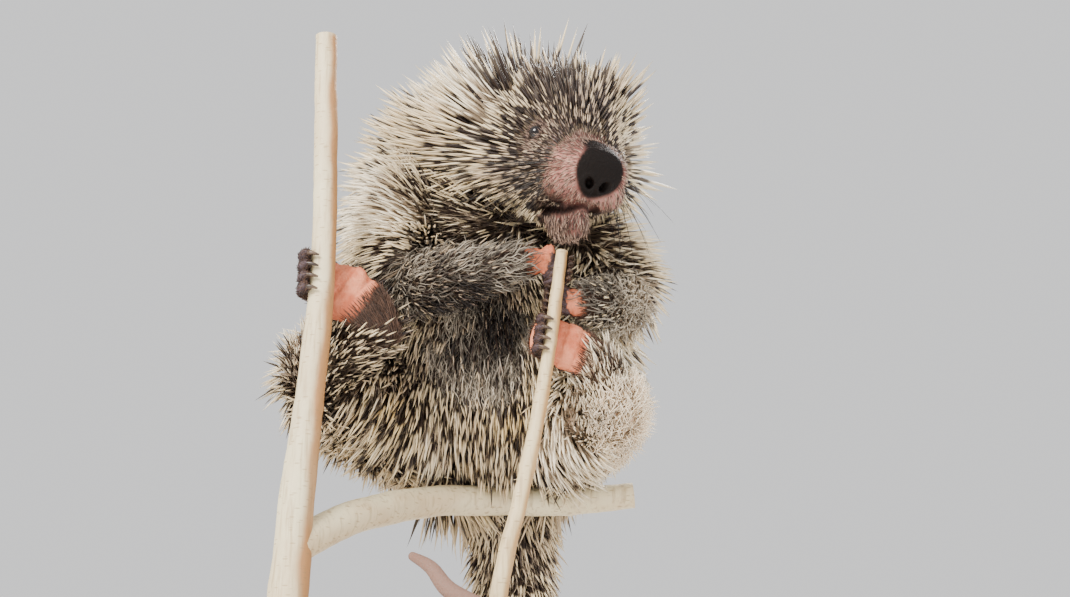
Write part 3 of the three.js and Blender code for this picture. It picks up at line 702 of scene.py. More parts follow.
@dataclass
class SkinPlan:
    """Sizes of the skin's mesh and of what is shaped into the face, in millimetres."""

    voxel: float = 1.15
    keep: float = 0.3
    smoothing: int = 7
    nose_bulge: tuple[tuple[Row, Row], ...] = (
        ((0, -65, -8), (20, 10, 15)), ((11.5, -58, -15), (13, 12, 13)), ((-11.5, -58, -15), (13, 12, 13)),
        ((0, -57, -38), (12, 10, 10)),
    )
    ear_size: Row = (6.0, 9.0, 12.0)
    ear_turn: float = 28.0
    eye_radius: float = 5.0
    lid_ring: float = 5.9
    lid_thick: float = 1.6
    lid_turn: float = 62.0
    lid_out: float = 1.0
    nostril_wide: float = 2.5
    nostril_tall: float = 3.4
    nostril_deep: float = 6.0
    nostril_splay: float = 18.0
    lip_roll: float = 0.7
    lip_gap: float = 2.3
    lip_deep: float = 6.0
    jaw_narrow: float = 0.42
    # The dark nose pad reaches up the bridge: partly its own dark skin, partly painted shade.
    pad_wide: float = 15.6
    pad_tall: float = 18.5
    pad_z: float = -4.5
    line_casts: int = 41
    line_points: int = 161
    cast_from: float = -130.0
    face: Row = (45.0, -10.0, 60.0)
    heel: float = 0.42
    creases: tuple[tuple[float, float], ...] = ((0.5, 0.9), (0.7, 1.1), (0.88, 0.7))


class Skin:
    """The one skin of the whole animal."""

    REPLACED = (
        "rump", "trunk_middle", "shoulders", "neck", "head", "muzzle",
        *(f"{side}_{part}" for part in ("ear", "thigh", "shin", "upper_arm", "forearm", "foot", "paw")
          for side in ("right", "left")),
        *(f"tail_{part}" for part in ("base", "bend", "middle", "coil", "tip")),
    )

    def __init__(self, anatomy: Anatomy, plan: SkinPlan) -> None:
        """Keep the anatomy and the sizes.

        Args:
            anatomy: The forms under the skin.
            plan: Sizes of the mesh and of the face.
        """
        self.anatomy = anatomy
        self.head = anatomy.plan.head
        self.plan = plan
        self.obj: Object | None = None
        self.lips = np.zeros((0, 3))

    def build(self, finishes: Finishes) -> None:
        """Join the forms into one skin, shape the face into it, mark its parts and dress it."""
        pieces = [f.loft.form("form", f.sides, -f.inset * MM) for f in self.anatomy.forms]
        pieces += [self.swelling(*bulge) for bulge in self.plan.nose_bulge]
        pieces += [self.pad(foot) for foot, _ in self.anatomy.plan.grips()]
        for side in Side:
            pieces += [self.lid(side), self.ear(side)]
        self.obj = join("skin", pieces)
        modify(self.obj, "REMESH", mode="VOXEL", voxel_size=self.plan.voxel * MM)
        modify(self.obj, "SMOOTH", factor=0.5, iterations=self.plan.smoothing)
        self.thin_out()
        self.shape_face()
        self.crease_soles()
        self.mark()
        hand_over(self.obj, [finishes.skin], "nose_skin", *self.REPLACED)

    def swelling(self, at: Row, radii: Row) -> Object:
        """Add a ball on the head's own axes."""
        obj = ball("swelling", 24, 16)
        size = Matrix.Diagonal((*[r * MM for r in radii], 1))
        place = self.head.place @ Matrix.Translation(Vector(at) * MM) @ size
        move_points(obj, to_world(place, points_of(obj)))
        return obj

    def pad(self, foot: FootPlan) -> Object:
        """Add the pad that bulges from a sole."""
        at, radii = foot.pad
        deselect()
        bpy.ops.mesh.primitive_uv_sphere_add(segments=20, ring_count=12, radius=MM, location=Vector(at) * MM)
        bpy.ops.transform.resize(value=radii)
        return settle(named("pad"))

    def lid(self, side: Side) -> Object:
        """Add the ring of lids round one eye."""
        x, y, z = self.head.eye
        deselect()
        bpy.ops.mesh.primitive_torus_add(major_radius=self.plan.lid_ring * MM, major_segments=28,
                                         minor_radius=self.plan.lid_thick * MM, minor_segments=12)
        obj = named("lid")
        turn = (Matrix.Translation(Vector((side.value * (x + self.plan.lid_out), y - 0.6, z)) * MM)
                @ Matrix.Rotation(side.value * math.radians(self.plan.lid_turn), 4, "Y")
                @ Matrix.Diagonal((0.8, 1.0, 1.0, 1.0)))
        move_points(obj, to_world(self.head.place @ turn, points_of(obj)))
        return obj

    def ear(self, side: Side) -> Object:
        """Add one small cupped ear: a ball whose outer side is pressed in."""
        obj = ball("ear", 28, 20)
        points = points_of(obj)
        mouth = unit(np.array([side.value * 0.75, -0.65, 0.05]))
        facing = points @ mouth
        points -= mouth * (smooth(facing, 0.25, 0.8) * (facing - 0.1) * 1.15)[:, None]
        scaled = points * np.array(self.plan.ear_size) * MM
        turn = (Matrix.Translation(Vector(self.head.sided(self.head.ear, side)) * MM)
                @ Matrix.Rotation(side.value * math.radians(self.plan.ear_turn), 4, "Z"))
        move_points(obj, to_world(self.head.place @ turn, scaled))
        return obj

    def thin_out(self) -> None:
        """Thin the mesh everywhere but on the face, the feet and the tail's end."""
        points = points_of(self.obj)
        spots = self.anatomy.survey(points)
        fine = spots.on(Part.SOLE, Part.DIGIT) | (spots.on(Part.HEAD) & (self.head.local(points)[:, 1] < -8))
        fine |= spots.on(Part.TAIL) & (spots.share > 0.45)
        group = self.obj.vertex_groups.new(name="coarse")
        group.add(np.flatnonzero(~fine).tolist(), 1.0, "REPLACE")
        modify(self.obj, "DECIMATE", ratio=self.plan.keep, vertex_group=group.name)
        self.obj.vertex_groups.clear()

    def surface(self) -> BVHTree:
        """Give the skin as a tree for casting rays."""
        mesh = bmesh.new()
        mesh.from_mesh(self.obj.data)
        tree = BVHTree.FromBMesh(mesh)
        mesh.free()
        return tree

    def mouth_line(self, tree: BVHTree) -> Array:
        """Follow the line between the lips over the skin, from corner to corner, on the head's axes.

        Args:
            tree: The skin.

        Returns:
            Close points in millimetres, evenly between the places where rays hit the skin.
        """
        line = []
        toward = (self.head.place.to_3x3() @ Vector((0, 1, 0))).normalized()
        for x in np.linspace(-self.head.mouth_corner, self.head.mouth_corner, self.plan.line_casts):
            z = self.head.mouth_z - self.head.mouth_drop * (x / self.head.mouth_corner) ** 2
            hit = tree.ray_cast(self.head.world(x, self.plan.cast_from, z), toward)[0]
            if hit:
                line.append(self.head.local(np.array([hit]))[0])
        places, rough = np.linspace(0, len(line) - 1, self.plan.line_points), np.array(line)
        return np.stack([np.interp(places, range(len(rough)), rough[:, axis]) for axis in range(3)], 1)

    def shape_face(self) -> None:
        """Press in the nostrils, the mouth and the eyes, and roll the lips and lids."""
        points = points_of(self.obj)
        local = self.head.local(points)
        wide, front, tall = self.plan.face
        inside = (np.abs(local[:, 0]) < wide) & (local[:, 1] < front) & (np.abs(local[:, 2]) < tall)
        rows = np.flatnonzero(inside)
        near = local[rows]
        near[:, 0] *= 1 - self.plan.jaw_narrow * smooth(near[:, 2], -23, -33) * smooth(near[:, 1], -14, -34)
        points[rows] = to_world(self.head.place, near * MM)
        move_points(self.obj, points)
        normal = normals_of(self.obj)[rows] @ self.head.turned
        self.lips = self.mouth_line(self.surface())
        near = near + self.mouth_shift(near, normal, self.lips)
        for side in Side:
            near = near + self.nostril_shift(near, normal, side)
            near = self.eye_socket(near, side)
        local[rows] = near
        points[rows] = to_world(self.head.place, near * MM)
        move_points(self.obj, points)

    def mouth_shift(self, near: Array, normal: Array, line: Array) -> Array:
        """Say how far each point moves to make the slit of the mouth and the rolled lips.

        Args:
            near: Places of the face on the head's axes, in millimetres.
            normal: The skin's normals there.
            line: The line between the lips.

        Returns:
            The shift of each place.
        """
        gap = span(near[:, None] - line[None])
        k = gap.argmin(1)
        far = gap[np.arange(len(near)), k]
        ends = smooth(np.abs(line[k, 0]), self.head.mouth_corner * 1.02, self.head.mouth_corner * 0.8)
        plan = self.plan
        wide = plan.lip_gap * (1 + 0.7 * smooth(np.abs(line[k, 0]), 5, 16))
        slit = -plan.lip_deep * np.exp(-((far / wide) ** 2)) * (0.35 + 0.65 * ends)
        roll = plan.lip_roll * np.exp(-(((far - 3.6) / 1.6) ** 2)) * ends
        x, y, z = near.T
        groove = -0.8 * np.exp(-((x / 1.1) ** 2)) * smooth(z, -27, -22) * smooth(z, -12, -16)
        groove = groove * smooth(y, -55, -62)
        return normal * (slit + roll + groove)[:, None]

    def nostril_shift(self, near: Array, normal: Array, side: Side) -> Array:
        """Say how far each point moves to make one nostril and its rim.

        Args:
            near: Places of the face on the head's axes, in millimetres.
            normal: The skin's normals there.
            side: Which nostril.

        Returns:
            The shift of each place.
        """
        x, y, z = self.head.nostril
        plan = self.plan
        aside, rise, turned = near[:, 0] - side.value * x, near[:, 2] - z, math.cos(math.radians(30))
        across = aside * turned - side.value * rise * 0.5
        tall = rise * turned + side.value * aside * 0.5
        far = np.hypot(across / plan.nostril_wide, tall / plan.nostril_tall)
        reach = smooth(near[:, 1], y + 16, y + 9)
        axis = unit(np.array([-side.value * math.tan(math.radians(plan.nostril_splay)), 1.0, 0.0]))
        hole = smooth(far, 1.15, 0.55) * plan.nostril_deep * reach
        rim = np.exp(-(((far - 1.5) / 0.35) ** 2)) * 0.7 * reach
        return axis * hole[:, None] + normal * rim[:, None]

    def eye_socket(self, near: Array, side: Side) -> Array:
        """Press the skin in behind the opening of one eye.

        Args:
            near: Places of the face on the head's axes, in millimetres.
            side: Which eye.

        Returns:
            The places, moved where they lie in the opening.
        """
        middle = self.head.sided(self.head.eye, side)
        turn, radius = math.radians(self.plan.lid_turn), self.plan.eye_radius
        axis = unit(np.array([side.value * math.sin(turn), -0.18, math.cos(turn) * 0.25]))
        offset = near - middle
        far = span(offset)
        facing = (offset @ axis) / np.maximum(far, 1e-6)
        inside = (facing > 0.62) & (far < radius * 1.7)
        deep = radius * (0.8 + 0.25 * smooth(facing, 0.9, 0.62))
        moved = middle + offset / np.maximum(far, 1e-6)[:, None] * deep[:, None]
        return np.where(inside[:, None], moved, near)

    def crease_soles(self) -> None:
        """Press the creases between the pads of the soles."""
        points = points_of(self.obj)
        spots = self.anatomy.survey(points)
        rows = np.flatnonzero(spots.on(Part.SOLE))
        share = spots.share[rows] + 0.03 * mottle(points[rows], 0.02, 8)
        deep = sum(depth * np.exp(-(((share - at) / 0.035) ** 2)) for at, depth in self.plan.creases)
        points[rows] -= normals_of(self.obj)[rows] * (deep * MM)[:, None]
        move_points(self.obj, points)

    def on_ear(self, local: Array) -> Array:
        """Say which points on the head's axes are on an ear."""
        x, y, z = self.head.ear
        return (span(local * [0, 1, 1] - [0, y, z]) < 14) & (np.abs(local[:, 0]) > x + 1.5)

    def pad_share(self, local: Array) -> Array:
        """Give how far points lie from the middle of the nose pad, 1 at its edge."""
        plan = self.plan
        return np.hypot(local[:, 0] / plan.pad_wide, (local[:, 2] - plan.pad_z) / plan.pad_tall)

    def from_lips(self, local: Array) -> Array:
        """Give how far points are from the line between the lips.

        Towards the corners the gap is wider, so the same number lies further out there.

        Args:
            local: Places on the head's axes, in millimetres.

        Returns:
            The distances in millimetres of the line's middle.
        """
        far = np.full(len(local), 99.0)
        near = np.flatnonzero((local[:, 1] < -25) & (np.abs(local[:, 0]) < 30))
        widen = 1 + 0.5 * smooth(np.abs(self.lips[:, 0]), 4, 14)
        far[near] = (span(local[near][:, None] - self.lips[None]) / widen).min(1)
        return far

    def mark(self) -> None:
        """Store where the skin is nose, pad, sole, digit, bare tail or under the coat, and where shade and a
        highlight are painted on it.
        """
        points = points_of(self.obj)
        spots = self.anatomy.survey(points, normals_of(self.obj))
        local, head = self.head.local(points), spots.on(Part.HEAD)
        x, y, z = local.T
        edge = 3.0 * mottle(points, 0.012, 3)
        # Painted shade: beside the chin the muzzle's colour gives way to the coat's dark skin.
        chin_hollow_shade = smooth(np.abs(x), 11.5, 15) * smooth(z, -22, -28)
        nose = head * smooth(y + edge, -33, -46) * (1 - 0.9 * chin_hollow_shade)
        # The nose pad, near-black in the skin's finish: partly its own dark skin, partly painted shade.
        pad = smooth(self.pad_share(local) + 0.03 * edge, 1.08, 0.86) * smooth(y, -50, -58) * nose
        nose = nose * (1 - 0.3 * smooth(z, -14, -21) - 0.35 * smooth(z, -26, -33))
        # The bridge above the nose pad is left dark: partly its own dark skin, partly painted shade.
        nose = nose * (1 - 0.7 * smooth(z + edge, 0, 9))
        heel = smooth(spots.share + 0.012 * edge, self.plan.heel, self.plan.heel - 0.08)
        sole = spots.on(Part.SOLE, Part.DIGIT) * (1.0 - spots.on(Part.SOLE) * heel)
        digit = spots.on(Part.DIGIT).astype(float)
        back = sole * smooth(spots.normal[:, 1] + 0.1 * mottle(points, 0.008, 4), -0.05, 0.45)
        rim = np.min([span(local - self.head.sided(self.head.eye, side)) for side in Side], axis=0)
        values = {
            # Painted highlight on the toes' outer sides.
            "painted_toe_highlight": digit * np.sin(spots.angle) ** 2,
            "nose": np.where(self.on_ear(local) & head, 0.7, nose),
            # Near-black along the mouth's line is painted shade in the slit between the lips; the same mask
            # gives the dark rim round each eye.
            "lips": np.maximum(smooth(self.from_lips(local), 5.2, 2.4), smooth(rim, 7.0, 5.6)),
            "pad": pad,
            "sole": sole,
            "digit": np.maximum(digit, back),
            "tail": smooth(spots.on(Part.TAIL) * spots.share, 0.4, 0.62),
        }
        for name, value in values.items():
            write_value(self.obj, name, value)


# Coat


@dataclass(frozen=True)
class Strand:
    """One kind of strand: its thickness in millimetres, its rings and their girths, its bend and its curl."""

    name: str
    thick: float
    sides: int
    rings: tuple[float, ...]
    girths: tuple[float, ...]
    bend: float
    sink: float = 1.5
    curl: float = 0.0
    slot: str = "quill_coat"


@dataclass(frozen=True)
class Growth:
    """How quills grow on one part: length on the back, sides and belly in millimetres, lean and spacing."""

    back: float
    flank: float
    belly: float
    lean: float
    spacing: float


@dataclass(frozen=True)
class Marking:
    """A soft patch of the coat, seen from the front, where the quills' tips are paler or darker; a few are
    painted shade.

    Its middle and radii are across and up in that view, in millimetres at the muzzle's distance.
    """

    middle: tuple[float, float]
    radii: tuple[float, float]
    pale: float
    dark: float
    warm: float = 0.0


QUILL = Strand("quills", 2.15, sides=4, rings=(0.0, 0.12, 0.5, 0.8), girths=(0.5, 1.0, 0.95, 0.62), bend=0.1)
WOOL = Strand("underfur", 0.85, sides=3, rings=(0.0, 0.3, 0.55, 0.8), girths=(1.0, 0.95, 0.8, 0.55),
              bend=0.35, curl=0.07)
CURL = Strand("curled_fur", 1.0, sides=3, rings=(0.0, 0.2, 0.4, 0.6, 0.8), girths=(1.0, 1.0, 0.92, 0.8, 0.6),
              bend=0.4, curl=0.13)
BRISTLE = Strand("bristles", 0.75, sides=3, rings=(0.0, 0.4, 0.78), girths=(1.0, 0.85, 0.5), bend=0.25)
DOWN = Strand("face_hair", 0.6, sides=3, rings=(0.0, 0.5), girths=(1.0, 0.75), bend=0.35, sink=0.6,
              slot="nose_skin")
WHISKER = Strand("whiskers", 0.42, sides=5, rings=(0.0, 0.15, 0.3, 0.45, 0.6, 0.75, 0.9), bend=0.3,
                 girths=(1.0, 0.95, 0.9, 0.8, 0.7, 0.6, 0.45), slot="nose_skin")

GROWTHS: dict[Part, Growth] = {
    Part.TRUNK: Growth(58, 48, 22, 57, 3.6),
    Part.NECK: Growth(56, 44, 18, 48, 3.4),
    Part.HEAD: Growth(44, 38, 14, 44, 2.9),
    Part.THIGH: Growth(31, 31, 31, 66, 3.4),
    Part.SHIN: Growth(19, 19, 19, 62, 3.3),
    Part.UPPER_ARM: Growth(30, 30, 30, 59, 3.5),
    Part.FOREARM: Growth(15, 15, 15, 64, 3.1),
    Part.TAIL: Growth(29, 27, 24, 60, 3.6),
}

CHEST = (-8.0, 385.0, 42.0, 48.0)
HIP = (86.0, 318.0, 24.0, 30.0)

MARKINGS = (
    Marking((42, 560), (18, 17), -0.15, 1.0),
    Marking((-6, 566), (15, 11), -0.05, 0.8),
    Marking((-26, 556), (24, 20), 0.45, -0.35),
    Marking((-56, 505), (26, 28), -0.1, 0.1),
    Marking((4, 505), (22, 22), 0.0, -0.08),
    Marking((10, 466), (26, 20), 0.15, -0.1),
    Marking((-86, 472), (30, 34), 0.45, -0.35),
    # Partly dark fur, partly painted shade on the chest.
    Marking((-22, 406), (38, 32), -0.45, 0.3),
    Marking((-38, 352), (26, 22), -0.2, 0.1),
    # Painted shade in the deep hollow between the legs.
    Marking((9, 358), (13, 30), -0.5, 0.6),
    Marking((-50, 316), (22, 22), 0.1, -0.05),
    Marking((48, 298), (22, 20), 0.2, -0.2),
    Marking((79, 320), (36, 39), 1.1, -0.6),
    Marking((102, 506), (26, 34), 0.4, -0.25),
    Marking((98, 420), (20, 26), 0.3, -0.25),
    Marking((-66, 322), (13, 14), 0.0, 0.0, 0.7),
    Marking((12, 318), (12, 12), 0.0, 0.0, 0.6),
    Marking((-134, 382), (22, 24), 0.25, -0.1),
)


def front_view(points: Array) -> Array:
    """Give where points lie, seen from low in front, across and up in millimetres at the muzzle."""
    x, y, z = (points / MM - np.array(VIEW_FROM)).T
    low, high = math.sin(math.radians(VIEW_TILT)), math.cos(math.radians(VIEW_TILT))
    deep = y * high + z * low
    rise = (z * high - y * low) / deep
    far = VIEW_DEPTH / (high - low * rise)
    return np.stack([VIEW_FROM[0] + far * x / deep, VIEW_FROM[2] + far * (low + high * rise)], 1)


class Atlas:
    """An unwrap of the skin's own shape: one chart a form, its length by its girth, packed into a square."""

    def __init__(self, anatomy: Anatomy, patch: float = 0.003) -> None:
        """Pack the charts on shelves, the tallest first.

        Args:
            anatomy: The forms to unwrap.
            patch: Width of one strand's patch.
        """
        self.patch = patch
        sizes = []
        for form in anatomy.forms:
            steps = span(np.diff(form.loft.middle, axis=0))
            sizes.append((2 * math.pi * form.loft.reach.max(0).mean(), steps.sum()))
        order = sorted(range(len(sizes)), key=lambda i: -sizes[i][1])
        scale = 2.0
        while True:
            self.charts = [(0.0, 0.0, 0.0, 0.0)] * len(sizes)
            x = y = shelf = 0.01
            for i in order:
                wide, tall = sizes[i][0] * scale, sizes[i][1] * scale
                if x + wide > 0.99:
                    x, y = 0.01, shelf
                self.charts[i] = (x, y, wide, tall)
                x += wide + 0.006
                shelf = max(shelf, y + tall + 0.006)
            if shelf < 0.99 and max(c[0] + c[2] for c in self.charts) < 0.995:
                break
            scale *= 0.97

    def place(self, roots: Spots) -> Array:
        """Give each root's place on the unwrap."""
        chart = np.array(self.charts)[roots.form]
        u = chart[:, 0] + chart[:, 2] * ((roots.angle / (2 * math.pi)) % 1.0)
        v = chart[:, 1] + chart[:, 3] * roots.share
        return np.clip(np.stack([u, v], 1), self.patch, 1 - self.patch)


class Coat:
    """Everything that grows from the skin."""

    MOST_TRIANGLES = 190000

    def __init__(self, skin: Skin, atlas: Atlas, finishes: Finishes) -> None:
        """Read the skin's triangles.

        Args:
            skin: The finished skin.
            atlas: The unwrap that carries each strand's patch.
            finishes: All materials.
        """
        self.finishes = finishes
        self.skin = skin
        self.anatomy = skin.anatomy
        self.head = skin.head
        self.atlas = atlas
        self.rng = np.random.RandomState(SEED)
        mesh = skin.obj.data
        mesh.calc_loop_triangles()
        corners = np.empty(len(mesh.loop_triangles) * 3, np.int32)
        mesh.loop_triangles.foreach_get("vertices", corners)
        self.corners = corners.reshape(-1, 3)
        self.points = points_of(skin.obj)
        self.normals = normals_of(skin.obj)
        a, b, c = (self.points[self.corners[:, i]] for i in range(3))
        self.areas = span(np.cross(b - a, c - a)) / 2
        self.nose = np.array(self.head.world(0, -72, -8))
        self.eyes = [self.head.sided(self.head.eye, side) for side in Side]
        self.ears = [self.head.sided(self.head.ear, side) - (0, 8, 0) for side in Side]

    def build(self) -> None:
        """Mark the skin under the coat and grow every kind of strand."""
        self.tone_skin()
        self.grow_quills()
        self.grow_wool()
        self.grow_curls()
        self.grow_bristles()
        self.grow_down()
        self.grow_whiskers()

    def scatter(self, spacing: Callable[[Spots], Array], finest: float) -> Spots:
        """Spread roots evenly over the skin.

        Args:
            spacing: Gives the distance between neighbours at each root in millimetres, or 0 for bare skin.
            finest: The least such distance.

        Returns:
            The roots.
        """
        count = int(self.areas.sum() / (finest * MM) ** 2 * 2.2)
        face = self.rng.choice(len(self.areas), count, p=self.areas / self.areas.sum())
        u, v = self.rng.rand(2, count)
        flip = u + v > 1
        u, v = np.where(flip, 1 - u, u), np.where(flip, 1 - v, v)
        weights = np.stack([1 - u - v, u, v], 1)[..., None]
        point = (self.points[self.corners[face]] * weights).sum(1)
        normal = unit((self.normals[self.corners[face]] * weights).sum(1))
        roots = self.anatomy.survey(point, normal)
        gap = spacing(roots) * MM
        roots, gap = roots.keep(gap > 0), gap[gap > 0]
        cell = np.floor(roots.point / gap[:, None]).astype(np.int64)
        key = (cell[:, 0] * 73856093) ^ (cell[:, 1] * 19349663) ^ (cell[:, 2] * 83492791)
        key = key * 64 + (gap / MM * 4).astype(np.int64)
        return roots.keep(np.sort(np.unique(key, return_index=True)[1]))

    def flow(self, roots: Spots) -> Array:
        """Give the way the coat lies at each root, along the skin."""
        away = unit(roots.point - self.nose)
        down = np.array([0.0, 0.0, -1.0])
        high = smooth(roots.point[:, 2], 0.38, 0.5)[:, None]
        behind = smooth(roots.point[:, 1], -0.005, 0.045)[:, None]
        lie = away * high + down * (1 - high + 0.9 * behind)
        rooted = 1 - 0.75 * smooth(roots.share[:, None], 0.5, 0.1)
        for limb, toward, weight in ((Part.THIGH, down, 0.65), (Part.UPPER_ARM, away, 0.6)):
            own = (1 - weight) * roots.along + weight * toward
            lie = np.where(roots.on(limb)[:, None], own * rooted + lie * (1 - rooted), lie)
        ends = roots.on(Part.SHIN, Part.FOREARM, Part.TAIL, Part.SOLE, Part.DIGIT)
        lie = np.where(ends[:, None], roots.along, lie)
        x, y, z = self.head.local(roots.point).T
        chin = (smooth(z, -24, -32) * smooth(y, -24, -34) * roots.on(Part.HEAD))[:, None]
        aside = 0.6 * np.clip(x[:, None] / 14, -1, 1)
        outward = aside * self.head.turned[:, 0] + (1.1 - 0.8 * np.abs(aside)) * down
        return lay_flat(lie * (1 - chin) + outward * chin, roots.normal)

    def lengths(self, roots: Spots) -> tuple[Array, Array]:
        """Give the quills' length in millimetres and lean in degrees at each root."""
        back = np.sin(roots.angle)
        reach, lean = np.zeros(len(roots)), np.zeros(len(roots))
        for part, grow in GROWTHS.items():
            rows = roots.on(part)
            full = np.where(back > 0, grow.flank + (grow.back - grow.flank) * back,
                            grow.flank + (grow.flank - grow.belly) * back)
            reach[rows], lean[rows] = full[rows], grow.lean
        local = self.head.local(roots.point)
        x, y, z = local.T
        face = roots.on(Part.HEAD)
        short = 0.2 + 0.8 * smooth(y, -50, 0)
        cheek = smooth(np.abs(x), 16, 28) * smooth(y, -34, -16) * smooth(z, 26, 8)
        reach = np.where(face, reach * short * (1 + 0.32 * cheek), reach)
        for places, least, low, high in ((self.eyes, 0.35, 9, 24), (self.ears, 0.5, 12, 22)):
            for place in places:
                grown = least + (1 - least) * smooth(span(local - place), low, high)
                reach = reach * np.where(face, grown, 1.0)
        x, z = front_view(roots.point).T
        low = smooth(x, 50, 72) * smooth(z, 372, 348)
        reach, lean = reach * (1 - 0.22 * self.softness(roots)) * (1 - 0.42 * low), lean + 8 * low
        ruff = smooth(x, 50, 68) * smooth(z, 472, 496) * smooth(z, 580, 550)
        ruff = ruff * smooth(roots.point[:, 1], -0.105, -0.065)
        ruff = ruff * roots.on(Part.HEAD, Part.NECK)
        reach, lean = reach * (1 + 0.5 * ruff), lean - 26 * ruff
        tail = roots.on(Part.TAIL)
        reach = np.where(tail, reach * (1 - 0.62 * smooth(roots.share, 0.1, 0.42)), reach)
        return reach, lean

    def softness(self, roots: Spots) -> Array:
        """Give how far curled fur takes the quills' place at each root, from 0 to 1."""
        x, z = front_view(roots.point).T
        ragged = 0.12 * mottle(roots.point, 0.02, 51)
        chest, hip = (np.hypot((x - left) / wide, (z - up) / tall) + ragged
                      for left, up, wide, tall in (CHEST, HIP))
        chest, hip = smooth(chest, 1.1, 0.7), 0.85 * smooth(hip, 1.15, 0.75)
        front = np.where(roots.on(Part.TRUNK, Part.THIGH, Part.SHIN), np.maximum(chest, hip), 0.0)
        elbow = 0.5 * smooth(roots.share, 0.4, 0.9)
        arms = np.select([roots.on(Part.UPPER_ARM), roots.on(Part.FOREARM)], [elbow, 0.6], 0.0)
        return np.maximum(front * smooth(roots.point[:, 1], 0.03, -0.01), arms)

    def clumps(self, points: Array) -> Array:
        """Give the size of the dark partings in the coat at each point, from 0 to 1."""
        return smooth(mottle(points, 0.034, 11) + 0.5 * mottle(points, 0.013, 12), 0.35, 1.0)

    def quill_gap(self, roots: Spots) -> Array:
        """Give the quills' spacing in millimetres."""
        gap = np.zeros(len(roots))
        for part, grow in GROWTHS.items():
            gap[roots.on(part)] = grow.spacing
        local = self.head.local(roots.point)
        y, z = local[:, 1:].T
        face = roots.on(Part.HEAD)
        gap = np.where(face, gap - 1.0 * smooth(y, 0, -34), gap)
        gap[face & (y < -48 + 3 * mottle(roots.point, 0.01, 5))] = 0.0
        gap[face & (z < -28) & (y < -24)] = 0.0
        gap[roots.on(Part.TAIL) & (roots.share > 0.44)] = 0.0
        for eye in self.eyes:
            gap[face & (span(local - eye) < 9.5)] = 0.0
        gap[face & self.skin.on_ear(local)] = 0.0
        gap[roots.on(Part.FOREARM) & (roots.share > 0.74)] = 0.0
        return gap * (1 + 0.85 * self.softness(roots))

    def wool_gap(self, roots: Spots) -> Array:
        """Give the underfur's spacing in millimetres."""
        return np.where(self.quill_gap(roots) > 0, 2.9, 0.0)

    def tone_skin(self) -> None:
        """Give the skin the coat's own markings."""
        write_value(self.skin.obj, "pale", self.pattern(self.points, self.points)[0])

    def trim(self, roots: Spots, aim: Array, length: Array, lid: float = 8.0) -> Array:
        """Shorten strands that would run into another part, a stem or the seat limb.

        Args:
            roots: The roots.
            aim: Unit direction of each strand.
            length: Length of each strand in metres.
            lid: How far to stay from the middle of an eye, in millimetres.

        Returns:
            The lengths that are free.
        """
        eyes = [np.array(self.head.world(1.1 * eye[0], eye[1], eye[2])) for eye in self.eyes]
        free = np.ones(len(roots))
        open_ = np.ones(len(roots), bool)
        for share in (0.3, 0.5, 0.7, 0.85, 1.0):
            tips = roots.point + aim * (length * share)[:, None]
            spots = self.anatomy.survey(tips)
            hit = (spots.height < 0.6 * MM) & (spots.form != roots.form)
            hit |= self.anatomy.clearance(tips) < 0.9 * MM
            for eye in eyes:
                hit |= span(tips - eye) < lid * MM
            free = np.where(open_ & hit, max(share - 0.22, 0.0), free)
            open_ &= ~hit
        return length * free

    def strands(self, kind: Strand, roots: Spots, aim: Array, length: Array, values: dict[str, Array],
                material: Material, girth: Array | None = None) -> None:
        """Build strands as joined meshes, each mesh under the limit of triangles.

        Args:
            kind: Shape of a strand and name of the pieces, which are numbered where there are several.
            roots: Where they grow.
            aim: Unit direction of each.
            length: Length of each in metres.
            values: One number a strand for each named attribute.
            material: What they are made of.
            girth: Each strand's thickness as a share of the kind's.
        """
        girth = np.ones(len(roots)) if girth is None else girth
        rows = np.flatnonzero(length > 2.0 * kind.thick * girth * MM)
        each = kind.sides * (2 * (len(kind.rings) - 1) + 1)
        count = math.ceil(len(rows) * each / self.MOST_TRIANGLES)
        for i, some in enumerate(np.array_split(rows, count)):
            name = f"{kind.name}_{i + 1}" if count > 1 else kind.name
            own = {key: value[some] for key, value in values.items()}
            piece = self.mesh_of(name, kind, roots.keep(some), aim[some], length[some], girth[some], own)
            hand_over(piece, [material], kind.slot)

    def mesh_of(self, name: str, kind: Strand, roots: Spots, aim: Array, length: Array,
                girth: Array, values: dict[str, Array]) -> Object:
        """Join one mesh of strands from arrays, with its patches on the skin's unwrap.

        Args:
            name: Name of the piece; the others are as for strands.

        Returns:
            The piece.
        """
        count, sides, rings = len(roots), kind.sides, len(kind.rings)
        side = unit(np.cross(aim, roots.normal + 0.01))
        up = np.cross(side, aim)
        drop = unit(self.flow(roots) - 0.4 * roots.normal)
        angle = np.arange(sides) * 2 * math.pi / sides
        spoke = side[:, None] * np.cos(angle)[:, None] + up[:, None] * np.sin(angle)[:, None]
        verts, start = [], roots.point - aim * kind.sink * MM
        full = length + kind.sink * MM
        phase, way = self.rng.uniform(0, 2 * math.pi, (2, count, 1))
        sway = (side * np.cos(way) + up * np.sin(way)) * (full * kind.curl)[:, None]
        thick = (kind.thick * 0.5 * MM * girth)[:, None, None]
        for ring, share in zip((*kind.rings, 1.0), (*kind.girths, 0.0)):
            middle = start + aim * (full * ring)[:, None] + drop * (full * kind.bend * ring**2 * 0.5)[:, None]
            middle = middle + sway * (np.sin(phase + 6.0 * ring) - np.sin(phase))
            verts.append(middle[:, None] + spoke * thick * share if share else middle[:, None])
        verts = np.concatenate(verts, axis=1)
        each = verts.shape[1]
        base = (np.arange(count) * each)[:, None, None]
        i = np.arange(sides)
        j = (i + 1) % sides
        quads = [np.stack([r * sides + i, r * sides + j, (r + 1) * sides + j, (r + 1) * sides + i], 1)
                 for r in range(rings - 1)]
        quads = (np.concatenate(quads)[None] + base).reshape(-1, 4)
